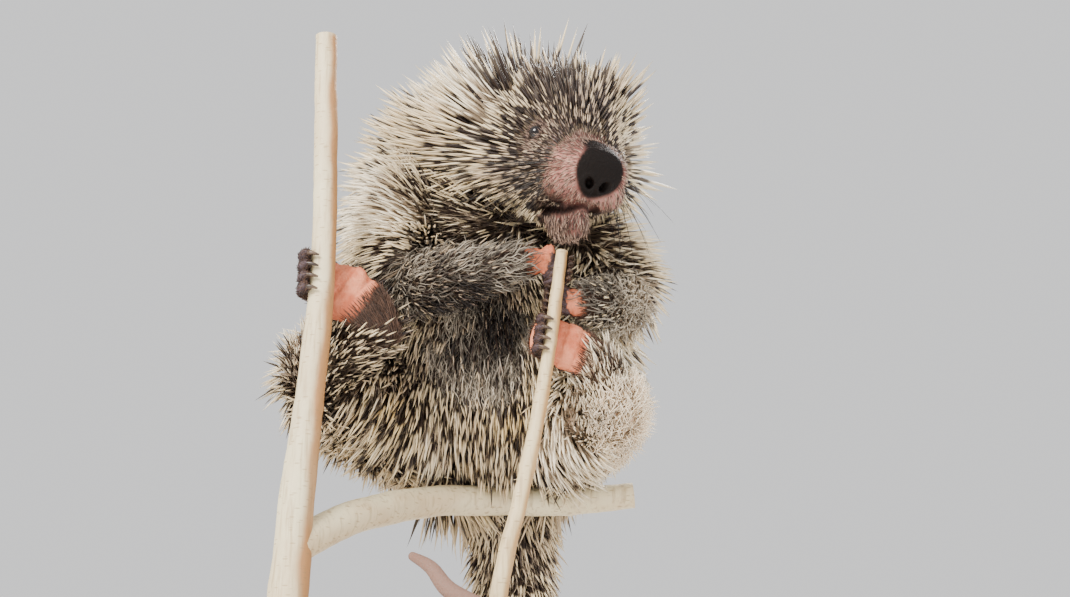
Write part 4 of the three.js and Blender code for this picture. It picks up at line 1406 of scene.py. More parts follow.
        last = (rings - 1) * sides
        tips = (np.stack([last + i, last + j, np.full(sides, each - 1)], 1)[None] + base).reshape(-1, 3)
        mesh = bpy.data.meshes.new(name)
        mesh.from_pydata(verts.reshape(-1, 3), [], [*quads.tolist(), *tips.tolist()])
        self.lay_patches(mesh, kind, roots)
        obj = bpy.data.objects.new(name, mesh)
        bpy.context.scene.collection.objects.link(obj)
        shares = np.concatenate([np.repeat(kind.rings, sides), [1.0]])
        write_value(obj, "along", np.tile(shares, count))
        for key, value in values.items():
            write_value(obj, key, np.repeat(value, each))
        return obj

    def lay_patches(self, mesh: Mesh, kind: Strand, roots: Spots) -> None:
        """Give each strand a small patch on the unwrap, round it by along it.

        Args:
            mesh: The joined strands, all their quads before all their tips.
            kind: Shape of a strand.
            roots: Where they grow.
        """
        sides, levels = kind.sides, (*kind.rings, 1.0)
        i = np.arange(sides)

        def corners(*places: tuple[float, float]) -> Array:
            """Give the corners of one ring of faces from their shifts round a side and their levels."""
            pairs = [np.stack([(i + shift) / sides, np.full(sides, level)], 1) for shift, level in places]
            return np.stack(pairs, 1)

        quads = [corners((0, low), (1, low), (1, high), (0, high))
                 for low, high in zip(levels[:-2], levels[1:-1])]
        tips = corners((0, levels[-2]), (1, levels[-2]), (0.5, 1.0))
        at, patch = self.atlas.place(roots)[:, None], self.atlas.patch
        uv = [(at + (faces.reshape(1, -1, 2) - 0.5) * patch).reshape(-1, 2)
              for faces in (np.concatenate(quads), tips)]
        layer = mesh.uv_layers.new(name=BAKE_MAP)
        layer.data.foreach_set("uv", np.concatenate(uv).astype(np.float32).ravel())

    def aims(self, roots: Spots, lean: Array | float, spread: float) -> Array:
        """Lean strands off the skin along the lie of the coat, each a little its own way.

        Args:
            roots: The roots.
            lean: Degrees off the skin's normal.
            spread: Degrees by which they differ.

        Returns:
            The unit direction of each strand.
        """
        turn = np.radians(lean + self.rng.normal(0.0, spread, len(roots)))[:, None]
        lie = unit(self.flow(roots) + self.rng.normal(0.0, spread / 60.0, (len(roots), 3)))
        lie = lay_flat(lie, roots.normal)
        return unit(roots.normal * np.cos(turn) + lie * np.sin(turn))

    def pattern(self, tips: Array, roots: Array) -> tuple[Array, Array, Array]:
        """Give how cream the quills are, how likely all dark, and how yellow, from where their tips lie.

        Args:
            tips: Places of the tips in metres.
            roots: Places of the roots in metres.

        Returns:
            Three values from 0 to 1 for each quill.
        """
        pale, dark, warm = np.full(len(tips), 0.68), np.full(len(tips), 0.13), np.zeros(len(tips))
        front = smooth(roots[:, 1], 0.035, -0.005)
        seen = front_view(tips)
        for mark in MARKINGS:
            offset = (seen - mark.middle) / mark.radii
            near = front * np.exp(-(offset**2).sum(1) * 0.7)
            pale += mark.pale * near
            dark += mark.dark * near
            warm += mark.warm * near
        face = span(roots - self.nose)
        pale -= 0.5 * smooth(face, 0.08, 0.04)
        dark += 0.35 * self.clumps(roots)
        return np.clip(pale + 0.12 * mottle(roots, 0.02, 21), 0, 1), np.clip(dark, 0, 1), np.clip(warm, 0, 1)

    def grow_quills(self) -> None:
        """Grow the banded quills."""
        roots = self.scatter(self.quill_gap, 2.7)
        reach, lean = self.lengths(roots)
        aim = self.aims(roots, lean - 6 * self.clumps(roots.point), 8.0)
        inset = np.array([form.inset for form in self.anatomy.forms])[roots.form]
        length = (reach * self.rng.uniform(0.72, 1.08, len(roots)) + 1.2 * inset) * MM
        pale, dark, warm = self.pattern(roots.point + aim * (0.85 * length)[:, None], roots.point)
        length = self.trim(roots, aim, length)
        rng, count = self.rng, len(roots)
        pale = np.clip(pale + rng.normal(0, 0.1, count), 0.0, 1.0)
        values = {
            "shade": np.clip(rng.normal(0.5, 0.2, count), 0.0, 1.0),
            "pale": pale,
            "dark": (rng.rand(count) < dark).astype(float),
            "band": np.clip(rng.normal(0.3, 0.2, count) + 0.4 * pale, 0.0, 1.0),
            "warm": np.clip(warm * rng.uniform(0.2, 1.1, count), 0.0, 1.0),
        }
        girth = np.clip(0.38 + reach / 62, 0.4, 1.1) * rng.uniform(0.85, 1.12, count)
        self.strands(QUILL, roots, aim, length, values, self.finishes.quill, girth)

    def grow_wool(self) -> None:
        """Grow the dark underfur between the quills."""
        roots = self.scatter(self.wool_gap, 3.0)
        reach, lean = self.lengths(roots)
        aim = self.aims(roots, np.minimum(lean, 48.0), 16.0)
        length = np.clip(reach * 0.6, 5.0, 19.0) * self.rng.uniform(0.7, 1.15, len(roots)) * MM
        length = self.trim(roots, aim, length)
        pale = np.maximum(self.pattern(roots.point + aim * length[:, None], roots.point)[0] - 0.66, 0.0)
        light = 0.13 + 0.22 * mottle(roots.point, 0.015, 41) + 0.38 * self.rng.rand(len(roots)) + 3.0 * pale
        values = {"shade": self.rng.rand(len(roots)), "light": np.clip(light, 0, 1)}
        self.strands(WOOL, roots, aim, length, values, self.finishes.wool)

    def curl_gap(self, roots: Spots) -> Array:
        """Give the spacing of the curled fur on the chest and arms."""
        soft = self.softness(roots)
        fine = 0.35 * smooth(self.pattern(roots.point, roots.point)[0], 0.85, 1.0)
        return np.where(soft > 0.2, 2.9 - 0.8 * soft - fine, 0.0)

    def grow_curls(self) -> None:
        """Grow the soft curled fur of the chest and arms."""
        roots = self.scatter(self.curl_gap, 1.85)
        aim = self.aims(roots, 52.0, 16.0)
        length = (8.0 + 8.0 * self.softness(roots)) * self.rng.uniform(0.7, 1.25, len(roots)) * MM
        length = self.trim(roots, aim, length)
        pale = self.pattern(roots.point + aim * length[:, None], roots.point)[0]
        light = 1.3 * pale - 0.32 + 0.3 * mottle(roots.point, 0.016, 52)
        light = light + 0.4 * self.rng.rand(len(roots)) ** 2
        arms = roots.on(Part.UPPER_ARM, Part.FOREARM)
        light = np.clip(light, 0, 1) * (0.75 + 0.25 * smooth(pale, 0.82, 1.0)) * np.where(arms, 0.6, 1.0)
        shade = np.maximum(self.rng.rand(len(roots)), 0.8 * smooth(pale, 0.88, 1.0))
        values = {"shade": shade, "light": light}
        self.strands(CURL, roots, aim, length, values, self.finishes.curl)

    def bristle_gap(self, roots: Spots) -> Array:
        """Give the spacing of the short dark bristles on wrists, ankles, digits and the tail."""
        gap = np.zeros(len(roots))
        facing = roots.normal[:, 1]
        gap[roots.on(Part.DIGIT)] = 1.5
        share = roots.share
        gap[roots.on(Part.SOLE) & ((facing > 0.15) | (share < self.skin.plan.heel))] = 1.6
        gap[roots.on(Part.SHIN) & (share > 0.6)] = 1.9
        gap[roots.on(Part.FOREARM) & (share > 0.5)] = 1.9
        gap[roots.on(Part.TAIL) & (share > 0.2) & (share < 0.62)] = 2.2
        return gap

    def grow_bristles(self) -> None:
        """Grow the short dark bristles of the limbs' ends and the tail."""
        roots = self.scatter(self.bristle_gap, 1.5)
        aim = self.aims(roots, 66.0, 8.0)
        ends = [roots.on(part) for part in (Part.DIGIT, Part.SOLE, Part.TAIL, Part.FOREARM)]
        reach = np.select(ends, [2.4, 4.0, 10.0, 6.0], 8.5)
        share = roots.share
        reach = np.where(roots.on(Part.SOLE) & (share < self.skin.plan.heel), 5.0, reach)
        reach = np.where(roots.on(Part.TAIL), reach * (1 - 0.75 * smooth(share, 0.35, 0.62)), reach)
        length = self.trim(roots, aim, reach * self.rng.uniform(0.7, 1.15, len(roots)) * MM)
        values = {"shade": self.rng.rand(len(roots)), "light": 0.15 + 0.3 * self.rng.rand(len(roots))}
        self.strands(BRISTLE, roots, aim, length, values, self.finishes.bristle)

    def down_gap(self, roots: Spots) -> Array:
        """Give the spacing of the fine hair on the muzzle, lips, chin, ears and round the eyes."""
        local = self.head.local(roots.point)
        y, z = local[:, 1:].T
        face = roots.on(Part.HEAD)
        gap = np.where(face & (y < -40), 1.45, 0.0)
        chin = face & (z < -27) & (y < -22)
        gap = np.where(chin, 1.3, gap)
        gap[(self.skin.pad_share(local) < 0.97) & (y < -54)] = 0.0
        gap[self.skin.from_lips(local) < 3.9] = 0.0
        for eye in self.eyes:
            far = span(local - eye)
            gap = np.where(face & (far > 6.0) & (far < 19), 1.35, gap)
        return np.where(face & self.skin.on_ear(local), 1.7, gap)

    def grow_down(self) -> None:
        """Grow the short hair of the muzzle and brows, and the curved hair of the chin."""
        roots = self.scatter(self.down_gap, 1.2)
        local = self.head.local(roots.point)
        x, y, z = local.T
        chin = smooth(z, -27, -36)
        brow = smooth(y, -50, -34) * (1 - chin)
        aim = self.aims(roots, 66.0 + 4 * chin, 12.0)
        reach = (3.4 + 2.6 * chin + 3.4 * brow) * (0.5 + 0.5 * smooth(self.skin.from_lips(local), 3, 8))
        eye = np.min([span(local - eye) for eye in self.eyes], axis=0)
        reach = reach * (0.4 + 0.6 * smooth(eye, 6, 12))
        length = self.trim(roots, aim, reach * self.rng.uniform(0.65, 1.2, len(roots)) * MM, 5.8)
        # Painted shade: the hair beside the chin is darker.
        chin_hollow_shade = smooth(np.abs(x), 10, 15) * smooth(z, -20, -28)
        bright = 0.45 + 0.55 * self.rng.rand(len(roots)) - 0.35 * brow * self.rng.rand(len(roots))
        light = np.where(self.rng.rand(len(roots)) < 0.36 + 0.12 * chin, 0.05, bright) * (1 - 0.85 * chin_hollow_shade)
        # Darker on the upper lip and chin, and on the bridge, where it is partly painted shade.
        light = light * (1 - 0.22 * smooth(z, -14, -22) - 0.35 * smooth(z, 0, 9))
        values = {"shade": self.rng.rand(len(roots)), "light": light}
        self.strands(DOWN, roots, aim, length, values, self.finishes.down, 1.0 + 0.35 * chin)

    def grow_whiskers(self) -> None:
        """Set the long whiskers in rows on both sides of the muzzle."""
        tree = self.skin.surface()
        hits = []
        for side in Side:
            for row, z in enumerate((-4, -9, -14, -19)):
                for k in range(6):
                    start = self.head.world(side.value * 60, -64 + 4.6 * k + 1.4 * row, z - 0.8 * k)
                    toward = (self.head.place.to_3x3() @ Vector((-side.value, 0.0, 0.0))).normalized()
                    hits.append(tree.ray_cast(start, toward)[:2])
        point, normal = (np.array(column) for column in zip(*(hit for hit in hits if hit[0])))
        roots = self.anatomy.survey(point, unit(normal))
        aim = self.aims(roots, 42.0, 8.0)
        length = self.trim(roots, aim, self.rng.uniform(34, 58, len(roots)) * MM)
        values = {"shade": self.rng.rand(len(roots)), "light": 0.1 * self.rng.rand(len(roots))}
        self.strands(WHISKER, roots, aim, length, values, self.finishes.whisker)


# Finishes


def feed(tree: NodeTree, node: Node, sockets: Sockets) -> Node:
    """Set or link inputs of a node.

    Args:
        tree: Its tree.
        node: The node.
        sockets: For input names or numbers, the constant to set or the output to link.

    Returns:
        The node.
    """
    for key, value in sockets.items():
        if isinstance(value, NodeSocket):
            tree.links.new(value, node.inputs[key])
        else:
            node.inputs[key].default_value = value
    return node


def put(tree: NodeTree, kind: str, sockets: Sockets | None = None, **settings: object) -> Node:
    """Add a shader node.

    Args:
        tree: Where it goes.
        kind: Its Blender type, without the leading ShaderNode.
        sockets: For input names or numbers, the constant to set or the output to link.
        **settings: Properties of the node.

    Returns:
        The node.
    """
    node = tree.nodes.new("ShaderNode" + kind)
    for key, value in settings.items():
        setattr(node, key, value)
    return feed(tree, node, sockets or {})


def grouped(tree: NodeTree, inner: NodeTree, sockets: Sockets) -> NodeSocket:
    """Use a node group inside a material and give its output."""
    return put(tree, "Group", sockets, node_tree=inner).outputs[0]


def blend(tree: NodeTree, factor: object, first: object, second: object,
          mode: str = "MIX") -> NodeSocket:
    """Mix two colours by a factor."""
    colours = [(*c, 1.0) if isinstance(c, tuple) else c for c in (first, second)]
    node = put(tree, "Mix", {0: factor, 6: colours[0], 7: colours[1]}, data_type="RGBA", blend_type=mode)
    return node.outputs[2]


def ranged(tree: NodeTree, value: object, low: float, high: float, to: tuple[float, float] = (0.0, 1.0),
           smooth_step: bool = True) -> NodeSocket:
    """Map a value from one range to another."""
    kind = "SMOOTHSTEP" if smooth_step else "LINEAR"
    node = put(tree, "MapRange", {0: value, 1: low, 2: high, 3: to[0], 4: to[1]}, interpolation_type=kind)
    return node.outputs[0]


def worked(tree: NodeTree, operation: str, first: object, second: object) -> NodeSocket:
    """Combine two numbers."""
    return put(tree, "Math", {0: first, 1: second}, operation=operation).outputs[0]


def stored(tree: NodeTree, name: str) -> NodeSocket:
    """Read a number stored on the mesh."""
    return put(tree, "Attribute", attribute_name=name).outputs["Fac"]


def group(name: str, inputs: dict[str, float | None], output: str, kind: str) -> tuple[NodeTree, Node, Node]:
    """Start a node group with its sockets.

    Args:
        name: The group's name.
        inputs: For each input its number at first, or None for a colour.
        output: The output's name.
        kind: The output's socket type.

    Returns:
        The tree, its input node and its output node.
    """
    tree = bpy.data.node_groups.new(name, "ShaderNodeTree")
    for key, start in inputs.items():
        given = "Color" if start is None else "Float"
        socket = tree.interface.new_socket(key, in_out="INPUT", socket_type="NodeSocket" + given)
        if start is not None:
            socket.default_value = start
    tree.interface.new_socket(output, in_out="OUTPUT", socket_type="NodeSocket" + kind)
    return tree, tree.nodes.new("NodeGroupInput"), tree.nodes.new("NodeGroupOutput")


class Effects:
    """The node groups that several finishes share."""

    BUMP = 0.0006

    def __init__(self) -> None:
        """Build the groups."""
        self.blotches = self.make_blotches()
        self.relief = self.make_relief()
        self.strand_tone = self.make_strand_tone()

    def make_blotches(self) -> NodeTree:
        """Make soft blotches with a finer break-up: a value from 0 to 1."""
        tree, start, end = group("blotches", {"Scale": 30.0, "Fine": 140.0}, "Value", "Float")
        where = put(tree, "TexCoord").outputs["Object"]
        scale, finer = start.outputs["Scale"], start.outputs["Fine"]
        wide = put(tree, "TexNoise", {"Vector": where, "Scale": scale, "Detail": 3.0}).outputs[0]
        fine = put(tree, "TexNoise", {"Vector": where, "Scale": finer, "Detail": 2.0}).outputs[0]
        total = worked(tree, "ADD", wide, worked(tree, "MULTIPLY", worked(tree, "SUBTRACT", fine, 0.5), 0.45))
        tree.links.new(ranged(tree, total, 0.3, 0.7), end.inputs["Value"])
        return tree

    def make_relief(self) -> NodeTree:
        """Make a fine relief of pores and creases as a normal."""
        tree, start, end = group("relief", {"Scale": 600.0, "Depth": 0.4}, "Normal", "Vector")
        where = put(tree, "TexCoord").outputs["Object"]
        scale, depth = start.outputs["Scale"], start.outputs["Depth"]
        pores = put(tree, "TexVoronoi", {"Vector": where, "Scale": scale}, feature="F1").outputs[0]
        creases = put(tree, "TexNoise", {"Vector": where, "Scale": scale, "Detail": 3.0}).outputs[0]
        height = worked(tree, "ADD", pores, creases)
        bump = put(tree, "Bump", {"Strength": depth, "Distance": self.BUMP, "Height": height})
        tree.links.new(bump.outputs[0], end.inputs["Normal"])
        return tree

    def make_strand_tone(self) -> NodeTree:
        """Make each strand a little lighter or darker at random, and darker at its root than at its tip:
        painted shade deep in the coat, and for hair also its own darker base.
        """
        tree, start, end = group("strand_tone", {"Colour": None, "Root": 0.45}, "Colour", "Color")
        own = ranged(tree, stored(tree, "shade"), 0.0, 1.0, (0.72, 1.2), smooth_step=False)
        root = start.outputs["Root"]
        # Painted shade deep in the coat, with hair's own darker base: the root end darkens.
        depth = put(tree, "MapRange", {0: stored(tree, "along"), 1: 0.0, 2: 0.5, 3: root, 4: 1.0})
        tone = worked(tree, "MULTIPLY", own, depth.outputs[0])
        grey = put(tree, "CombineColor", {0: tone, 1: tone, 2: tone}).outputs[0]
        tree.links.new(blend(tree, 1.0, start.outputs["Colour"], grey, "MULTIPLY"), end.inputs["Colour"])
        return tree


@dataclass(frozen=True)
class Finish:
    """A finish that becomes one material of the same name."""

    name: str

    def sockets(self, tree: NodeTree, effects: Effects) -> Sockets:
        """Build the nodes before the shader.

        Args:
            tree: The material's tree.
            effects: The shared node groups.

        Returns:
            For the shader's input names, the constant to set or the output to link.
        """
        raise NotImplementedError

    def material(self, effects: Effects) -> Material:
        """Build the material with the shared node groups."""
        material = bpy.data.materials.new(self.name)
        material.use_nodes = True
        tree = material.node_tree
        feed(tree, tree.nodes["Principled BSDF"], self.sockets(tree, effects))
        return material


@dataclass(frozen=True)
class QuillFinish(Finish):
    """Banded quills: a cream root painted darker as shade deep in the coat, a dark brown band and a tip from
    grey-brown over cream to nearly white.
    """

    name: str = "quill"
    # Cream, painted darker as shade deep in the coat.
    root: Colour = linear(122, 104, 84)
    band: Colour = linear(46, 34, 29)
    grey: Colour = linear(118, 99, 92)
    fawn: Colour = linear(186, 164, 136)
    cream: Colour = linear(233, 212, 172)
    white: Colour = linear(248, 235, 210)
    yellow: Colour = linear(222, 182, 92)
    band_from: float = 0.34
    band_to: float = 0.67
    roughness: float = 0.4
    gloss: float = 0.35
    root_tone: float = 0.5

    def sockets(self, tree: NodeTree, effects: Effects) -> Sockets:
        """Build the nodes before the shader, as for every finish."""
        shift = ranged(tree, stored(tree, "band"), 0.0, 1.0, (-0.08, 0.14), smooth_step=False)
        along = worked(tree, "ADD", stored(tree, "along"), shift)
        rise = ranged(tree, along, self.band_from - 0.06, self.band_from + 0.04)
        fall = ranged(tree, along, self.band_to - 0.05, self.band_to + 0.06)
        pale = stored(tree, "pale")
        tip = blend(tree, ranged(tree, pale, 0.0, 0.4, smooth_step=False), self.grey, self.fawn)
        tip = blend(tree, ranged(tree, pale, 0.4, 0.75, smooth_step=False), tip, self.cream)
        tip = blend(tree, ranged(tree, pale, 0.8, 1.0, smooth_step=False), tip, self.white)
        tip = blend(tree, stored(tree, "warm"), tip, self.yellow)
        band = blend(tree, ranged(tree, pale, 0.86, 1.0, (0.0, 0.75)), self.band, self.fawn)
        colour = blend(tree, rise, self.root, band)
        colour = blend(tree, fall, colour, tip)
        dark = worked(tree, "MULTIPLY", stored(tree, "dark"), ranged(tree, along, 0.3, 0.4, (0.0, 0.94)))
        colour = blend(tree, dark, colour, self.band)
        tone = grouped(tree, effects.strand_tone, {"Colour": colour, "Root": self.root_tone})
        return {"Base Color": tone, "Roughness": self.roughness, "Specular IOR Level": self.gloss}


@dataclass(frozen=True)
class HairFinish(Finish):
    """Fine hair between two colours, darker at the root: partly its own darker base, partly painted shade
    deep in the coat.
    """

    dark: Colour
    light: Colour
    roughness: float = 0.6
    gloss: float = 0.3
    root_tone: float = 0.6

    def sockets(self, tree: NodeTree, effects: Effects) -> Sockets:
        """Build the nodes before the shader, as for every finish."""
        colour = blend(tree, stored(tree, "light"), self.dark, self.light)
        tone = grouped(tree, effects.strand_tone, {"Colour": colour, "Root": self.root_tone})
        return {"Base Color": tone, "Roughness": self.roughness, "Specular IOR Level": self.gloss}


@dataclass(frozen=True)
class SkinFinish(Finish):
    """The skin: dark under the coat, mauve on the muzzle, salmon pink on the soles; painted shade darkens the
    nose pad in part and the mouth, and a painted highlight lies on the toes.
    """

    name: str = "skin"
    coat: Colour = linear(52, 41, 36)
    coat_pale: Colour = linear(212, 186, 158)
    muzzle: Colour = linear(182, 132, 120)
    # Near-black: painted shade in the slit of the mouth, also the dark rim round the eyes.
    mouth: Colour = linear(26, 15, 13)
    flush: Colour = linear(160, 98, 90)
    # The nose pad's near-black: partly its own dark skin, partly painted shade.
    nose: Colour = linear(15, 9, 7)
    sole: Colour = linear(222, 140, 106)
    sole_deep: Colour = linear(192, 104, 74)
    digit: Colour = linear(40, 29, 28)
    # Purple-grey of the painted highlight on the toes.
    toe_highlight: Colour = linear(88, 74, 78)
    tail: Colour = linear(132, 104, 92)
    roughness: float = 0.62
    gloss: float = 0.12
    glow: float = 0.12
    glow_reach: Row = (0.004, 0.0016, 0.001)

    def sockets(self, tree: NodeTree, effects: Effects) -> Sockets:
        """Build the nodes before the shader, as for every finish."""
        blotch = grouped(tree, effects.blotches, {"Scale": 60.0, "Fine": 260.0})
        muzzle = blend(tree, blotch, self.muzzle, self.flush)
        sole = blend(tree, blotch, self.sole, self.sole_deep)
        coat = blend(tree, ranged(tree, stored(tree, "pale"), 0.7, 1.0), self.coat, self.coat_pale)
        # Painted highlight: purple-grey on the toes' outer sides.
        toe = blend(tree, stored(tree, "painted_toe_highlight"), self.digit, self.toe_highlight)
        colour = coat
        # The pad's near-black is partly painted shade, and the lips' near-black is painted shade in the
        # mouth.
        for mask, over in (("nose", muzzle), ("pad", self.nose), ("tail", self.tail), ("sole", sole),
                           ("digit", toe), ("lips", self.mouth)):
            colour = blend(tree, stored(tree, mask), colour, over)
        relief = grouped(tree, effects.relief, {"Scale": 650.0, "Depth": 0.55})
        return {"Base Color": colour, "Roughness": self.roughness, "Normal": relief,
                "Specular IOR Level": self.gloss, "Subsurface Weight": self.glow,
                "Subsurface Radius": self.glow_reach}


@dataclass(frozen=True)
class BarkFinish(Finish):
    """Smooth bark with a flush, fine lines and pores, pale where it is cut; the flush lies in blotches and,
    as painted shade, on the stem's +x side.
    """

    ground: Colour
    # Orange-brown, in blotches and as painted shade on the +x side.
    flush: Colour
    line: Colour
    flush_share: float = 1.0
    roughness: float = 0.55

    def sockets(self, tree: NodeTree, effects: Effects) -> Sockets:
        """Build the nodes before the shader, as for every finish."""
        wide = grouped(tree, effects.blotches, {"Scale": 17.0, "Fine": 70.0})
        # The flush's share: blotches plus painted shade on the stem's +x side.
        wide = worked(tree, "ADD", worked(tree, "MULTIPLY", wide, 0.3), stored(tree, "painted_shade_side"))
        where = put(tree, "TexCoord").outputs["Object"]
        along = put(tree, "Mapping", {"Vector": where, "Scale": (420.0, 420.0, 36.0)}).outputs[0]
        lines = put(tree, "TexNoise", {"Vector": along, "Scale": 1.0, "Detail": 4.0}).outputs[0]
        lines = ranged(tree, lines, 0.48, 0.72)
        across = put(tree, "Mapping", {"Vector": where, "Scale": (120.0, 120.0, 480.0)}).outputs[0]
        spots = put(tree, "TexVoronoi", {"Vector": across, "Scale": 1.0}, feature="F1").outputs[0]
        pores = ranged(tree, spots, 0.26, 0.14)
        colour = blend(tree, worked(tree, "MULTIPLY", wide, self.flush_share), self.ground, self.flush)
        colour = blend(tree, worked(tree, "MULTIPLY", lines, 0.45), colour, self.line)
        colour = blend(tree, worked(tree, "MULTIPLY", pores, 0.5), colour, self.line)
        relief = grouped(tree, effects.relief, {"Scale": 300.0, "Depth": 0.3})
        return {"Base Color": colour, "Roughness": self.roughness, "Normal": relief}


@dataclass(frozen=True)
class PlainFinish(Finish):
    """A plain finish of one colour, slightly blotched."""

    colour: Colour
    second: Colour
    roughness: float
    metallic: float = 0.0
    coat: float = 0.0
    coat_roughness: float = 0.05
    scale: float = 40.0

    def sockets(self, tree: NodeTree, effects: Effects) -> Sockets:
        """Build the nodes before the shader, as for every finish."""
        blotch = grouped(tree, effects.blotches, {"Scale": self.scale, "Fine": self.scale * 5})
        return {"Base Color": blend(tree, blotch, self.colour, self.second), "Metallic": self.metallic,
                "Roughness": self.roughness, "Coat Weight": self.coat, "Coat Roughness": self.coat_roughness}


@dataclass(frozen=True)
class WoodFinish(Finish):
    """Oiled wood with its grain along x."""

    name: str = "oiled_wood"
    pale: Colour = linear(176, 134, 92)
    deep: Colour = linear(128, 88, 56)
    roughness: float = 0.42

    def sockets(self, tree: NodeTree, effects: Effects) -> Sockets:
        """Build the nodes before the shader, as for every finish."""
        where = put(tree, "TexCoord").outputs["Object"]
        stretched = put(tree, "Mapping", {"Vector": where, "Scale": (3.0, 60.0, 60.0)}).outputs[0]
        rings = put(tree, "TexNoise", {"Vector": stretched, "Scale": 1.6, "Detail": 5.0, "Distortion": 0.35})
        fine = put(tree, "Mapping", {"Vector": where, "Scale": (60.0, 1600.0, 1600.0)}).outputs[0]
        pores = put(tree, "TexNoise", {"Vector": fine, "Scale": 1.0, "Detail": 2.0}).outputs[0]
        rings = ranged(tree, rings.outputs[0], 0.35, 0.65)
        share = worked(tree, "ADD", rings, worked(tree, "MULTIPLY", pores, 0.3))
        return {"Base Color": blend(tree, share, self.pale, self.deep), "Roughness": self.roughness}


class Finishes:
    """Every material of the model."""

    def __init__(self) -> None:
        """Build them all."""
        effects = Effects()
        self.skin = SkinFinish().material(effects)
        self.quill = QuillFinish().material(effects)
        self.wool = HairFinish("underfur", linear(50, 40, 35), linear(214, 192, 166)).material(effects)
        self.curl = HairFinish("curled_fur", linear(44, 39, 38), linear(250, 234, 210)).material(effects)
        self.bristle = HairFinish("bristle", linear(44, 32, 28), linear(138, 104, 84), 0.45).material(effects)
        self.down = HairFinish("face_hair", linear(66, 47, 42), linear(206, 172, 150), 0.5).material(effects)
        self.whisker = HairFinish("whisker", linear(26, 20, 18), linear(60, 48, 42), 0.35).material(effects)
        self.eye = PlainFinish("eye", linear(22, 14, 12), linear(12, 8, 7), 0.09, coat=0.05).material(effects)
        self.claw = PlainFinish("claw", linear(96, 76, 60), linear(48, 36, 30), 0.35,
                                scale=120.0).material(effects)
        self.thick_bark = BarkFinish("bark_thick", linear(228, 216, 178), linear(176, 126, 76),
                                     linear(150, 118, 78), 0.85).material(effects)
        self.thin_bark = BarkFinish("bark_thin", linear(222, 202, 158), linear(184, 140, 84),
                                    linear(140, 106, 70), 0.8).material(effects)
        self.cut_wood = PlainFinish("cut_wood", linear(226, 204, 158), linear(202, 172, 122), 0.6,
                                    scale=90.0).material(effects)
        self.wood = WoodFinish().material(effects)
        self.steel = PlainFinish("brushed_steel", linear(176, 178, 182), linear(158, 160, 165), 0.32, 1.0,
                                 scale=200.0).material(effects)
        self.paper = PlainFinish("backdrop", linear(247, 246, 243), linear(244, 243, 240), 0.9,
                                 scale=2.0).material(effects)


# Eyes and claws


@dataclass
class Eyes:
    """Two dark, wet eyes behind the lids, in millimetres and degrees."""

    head: HeadPlan
    radius: float = 5.35
    bulge: float = 0.5
    turn: float = 62.0

    def build(self, finishes: Finishes) -> None:
        """Make both eyes."""
        for side in Side:
            obj = ball(f"eyeball_{side.name.lower()}", 40, 24, self.radius * MM)
            points = points_of(obj)
            lens = smooth(points[:, 2], 0.3 * self.radius * MM, self.radius * MM)
            points[:, 2] += lens * self.bulge * MM
            turn = (Matrix.Translation(Vector(self.head.sided(self.head.eye, side)) * MM)
                    @ Matrix.Rotation(side.value * math.radians(self.turn), 4, "Y"))
            move_points(obj, to_world(self.head.place @ turn, points))
            hand_over(obj, [finishes.eye], "eye", f"{side.name.lower()}_eye")


@dataclass
class Claws:
    """The curved claws of all four feet."""

    anatomy: Anatomy
    sides: int = 12

    def build(self, finishes: Finishes) -> None:
        """Make them in one piece."""
        obj = join("claws", [claw.form("claw", self.sides) for claw in self.anatomy.claws])
        hand_over(obj, [finishes.claw], "sole_skin")


# Perch and stand


@dataclass(frozen=True)
class Knot:
    """A leaf scar or cut bud on a stem: its share of the way along, its turn in degrees, and its size."""

    share: float
    turn: float
    radius: float
    out: float


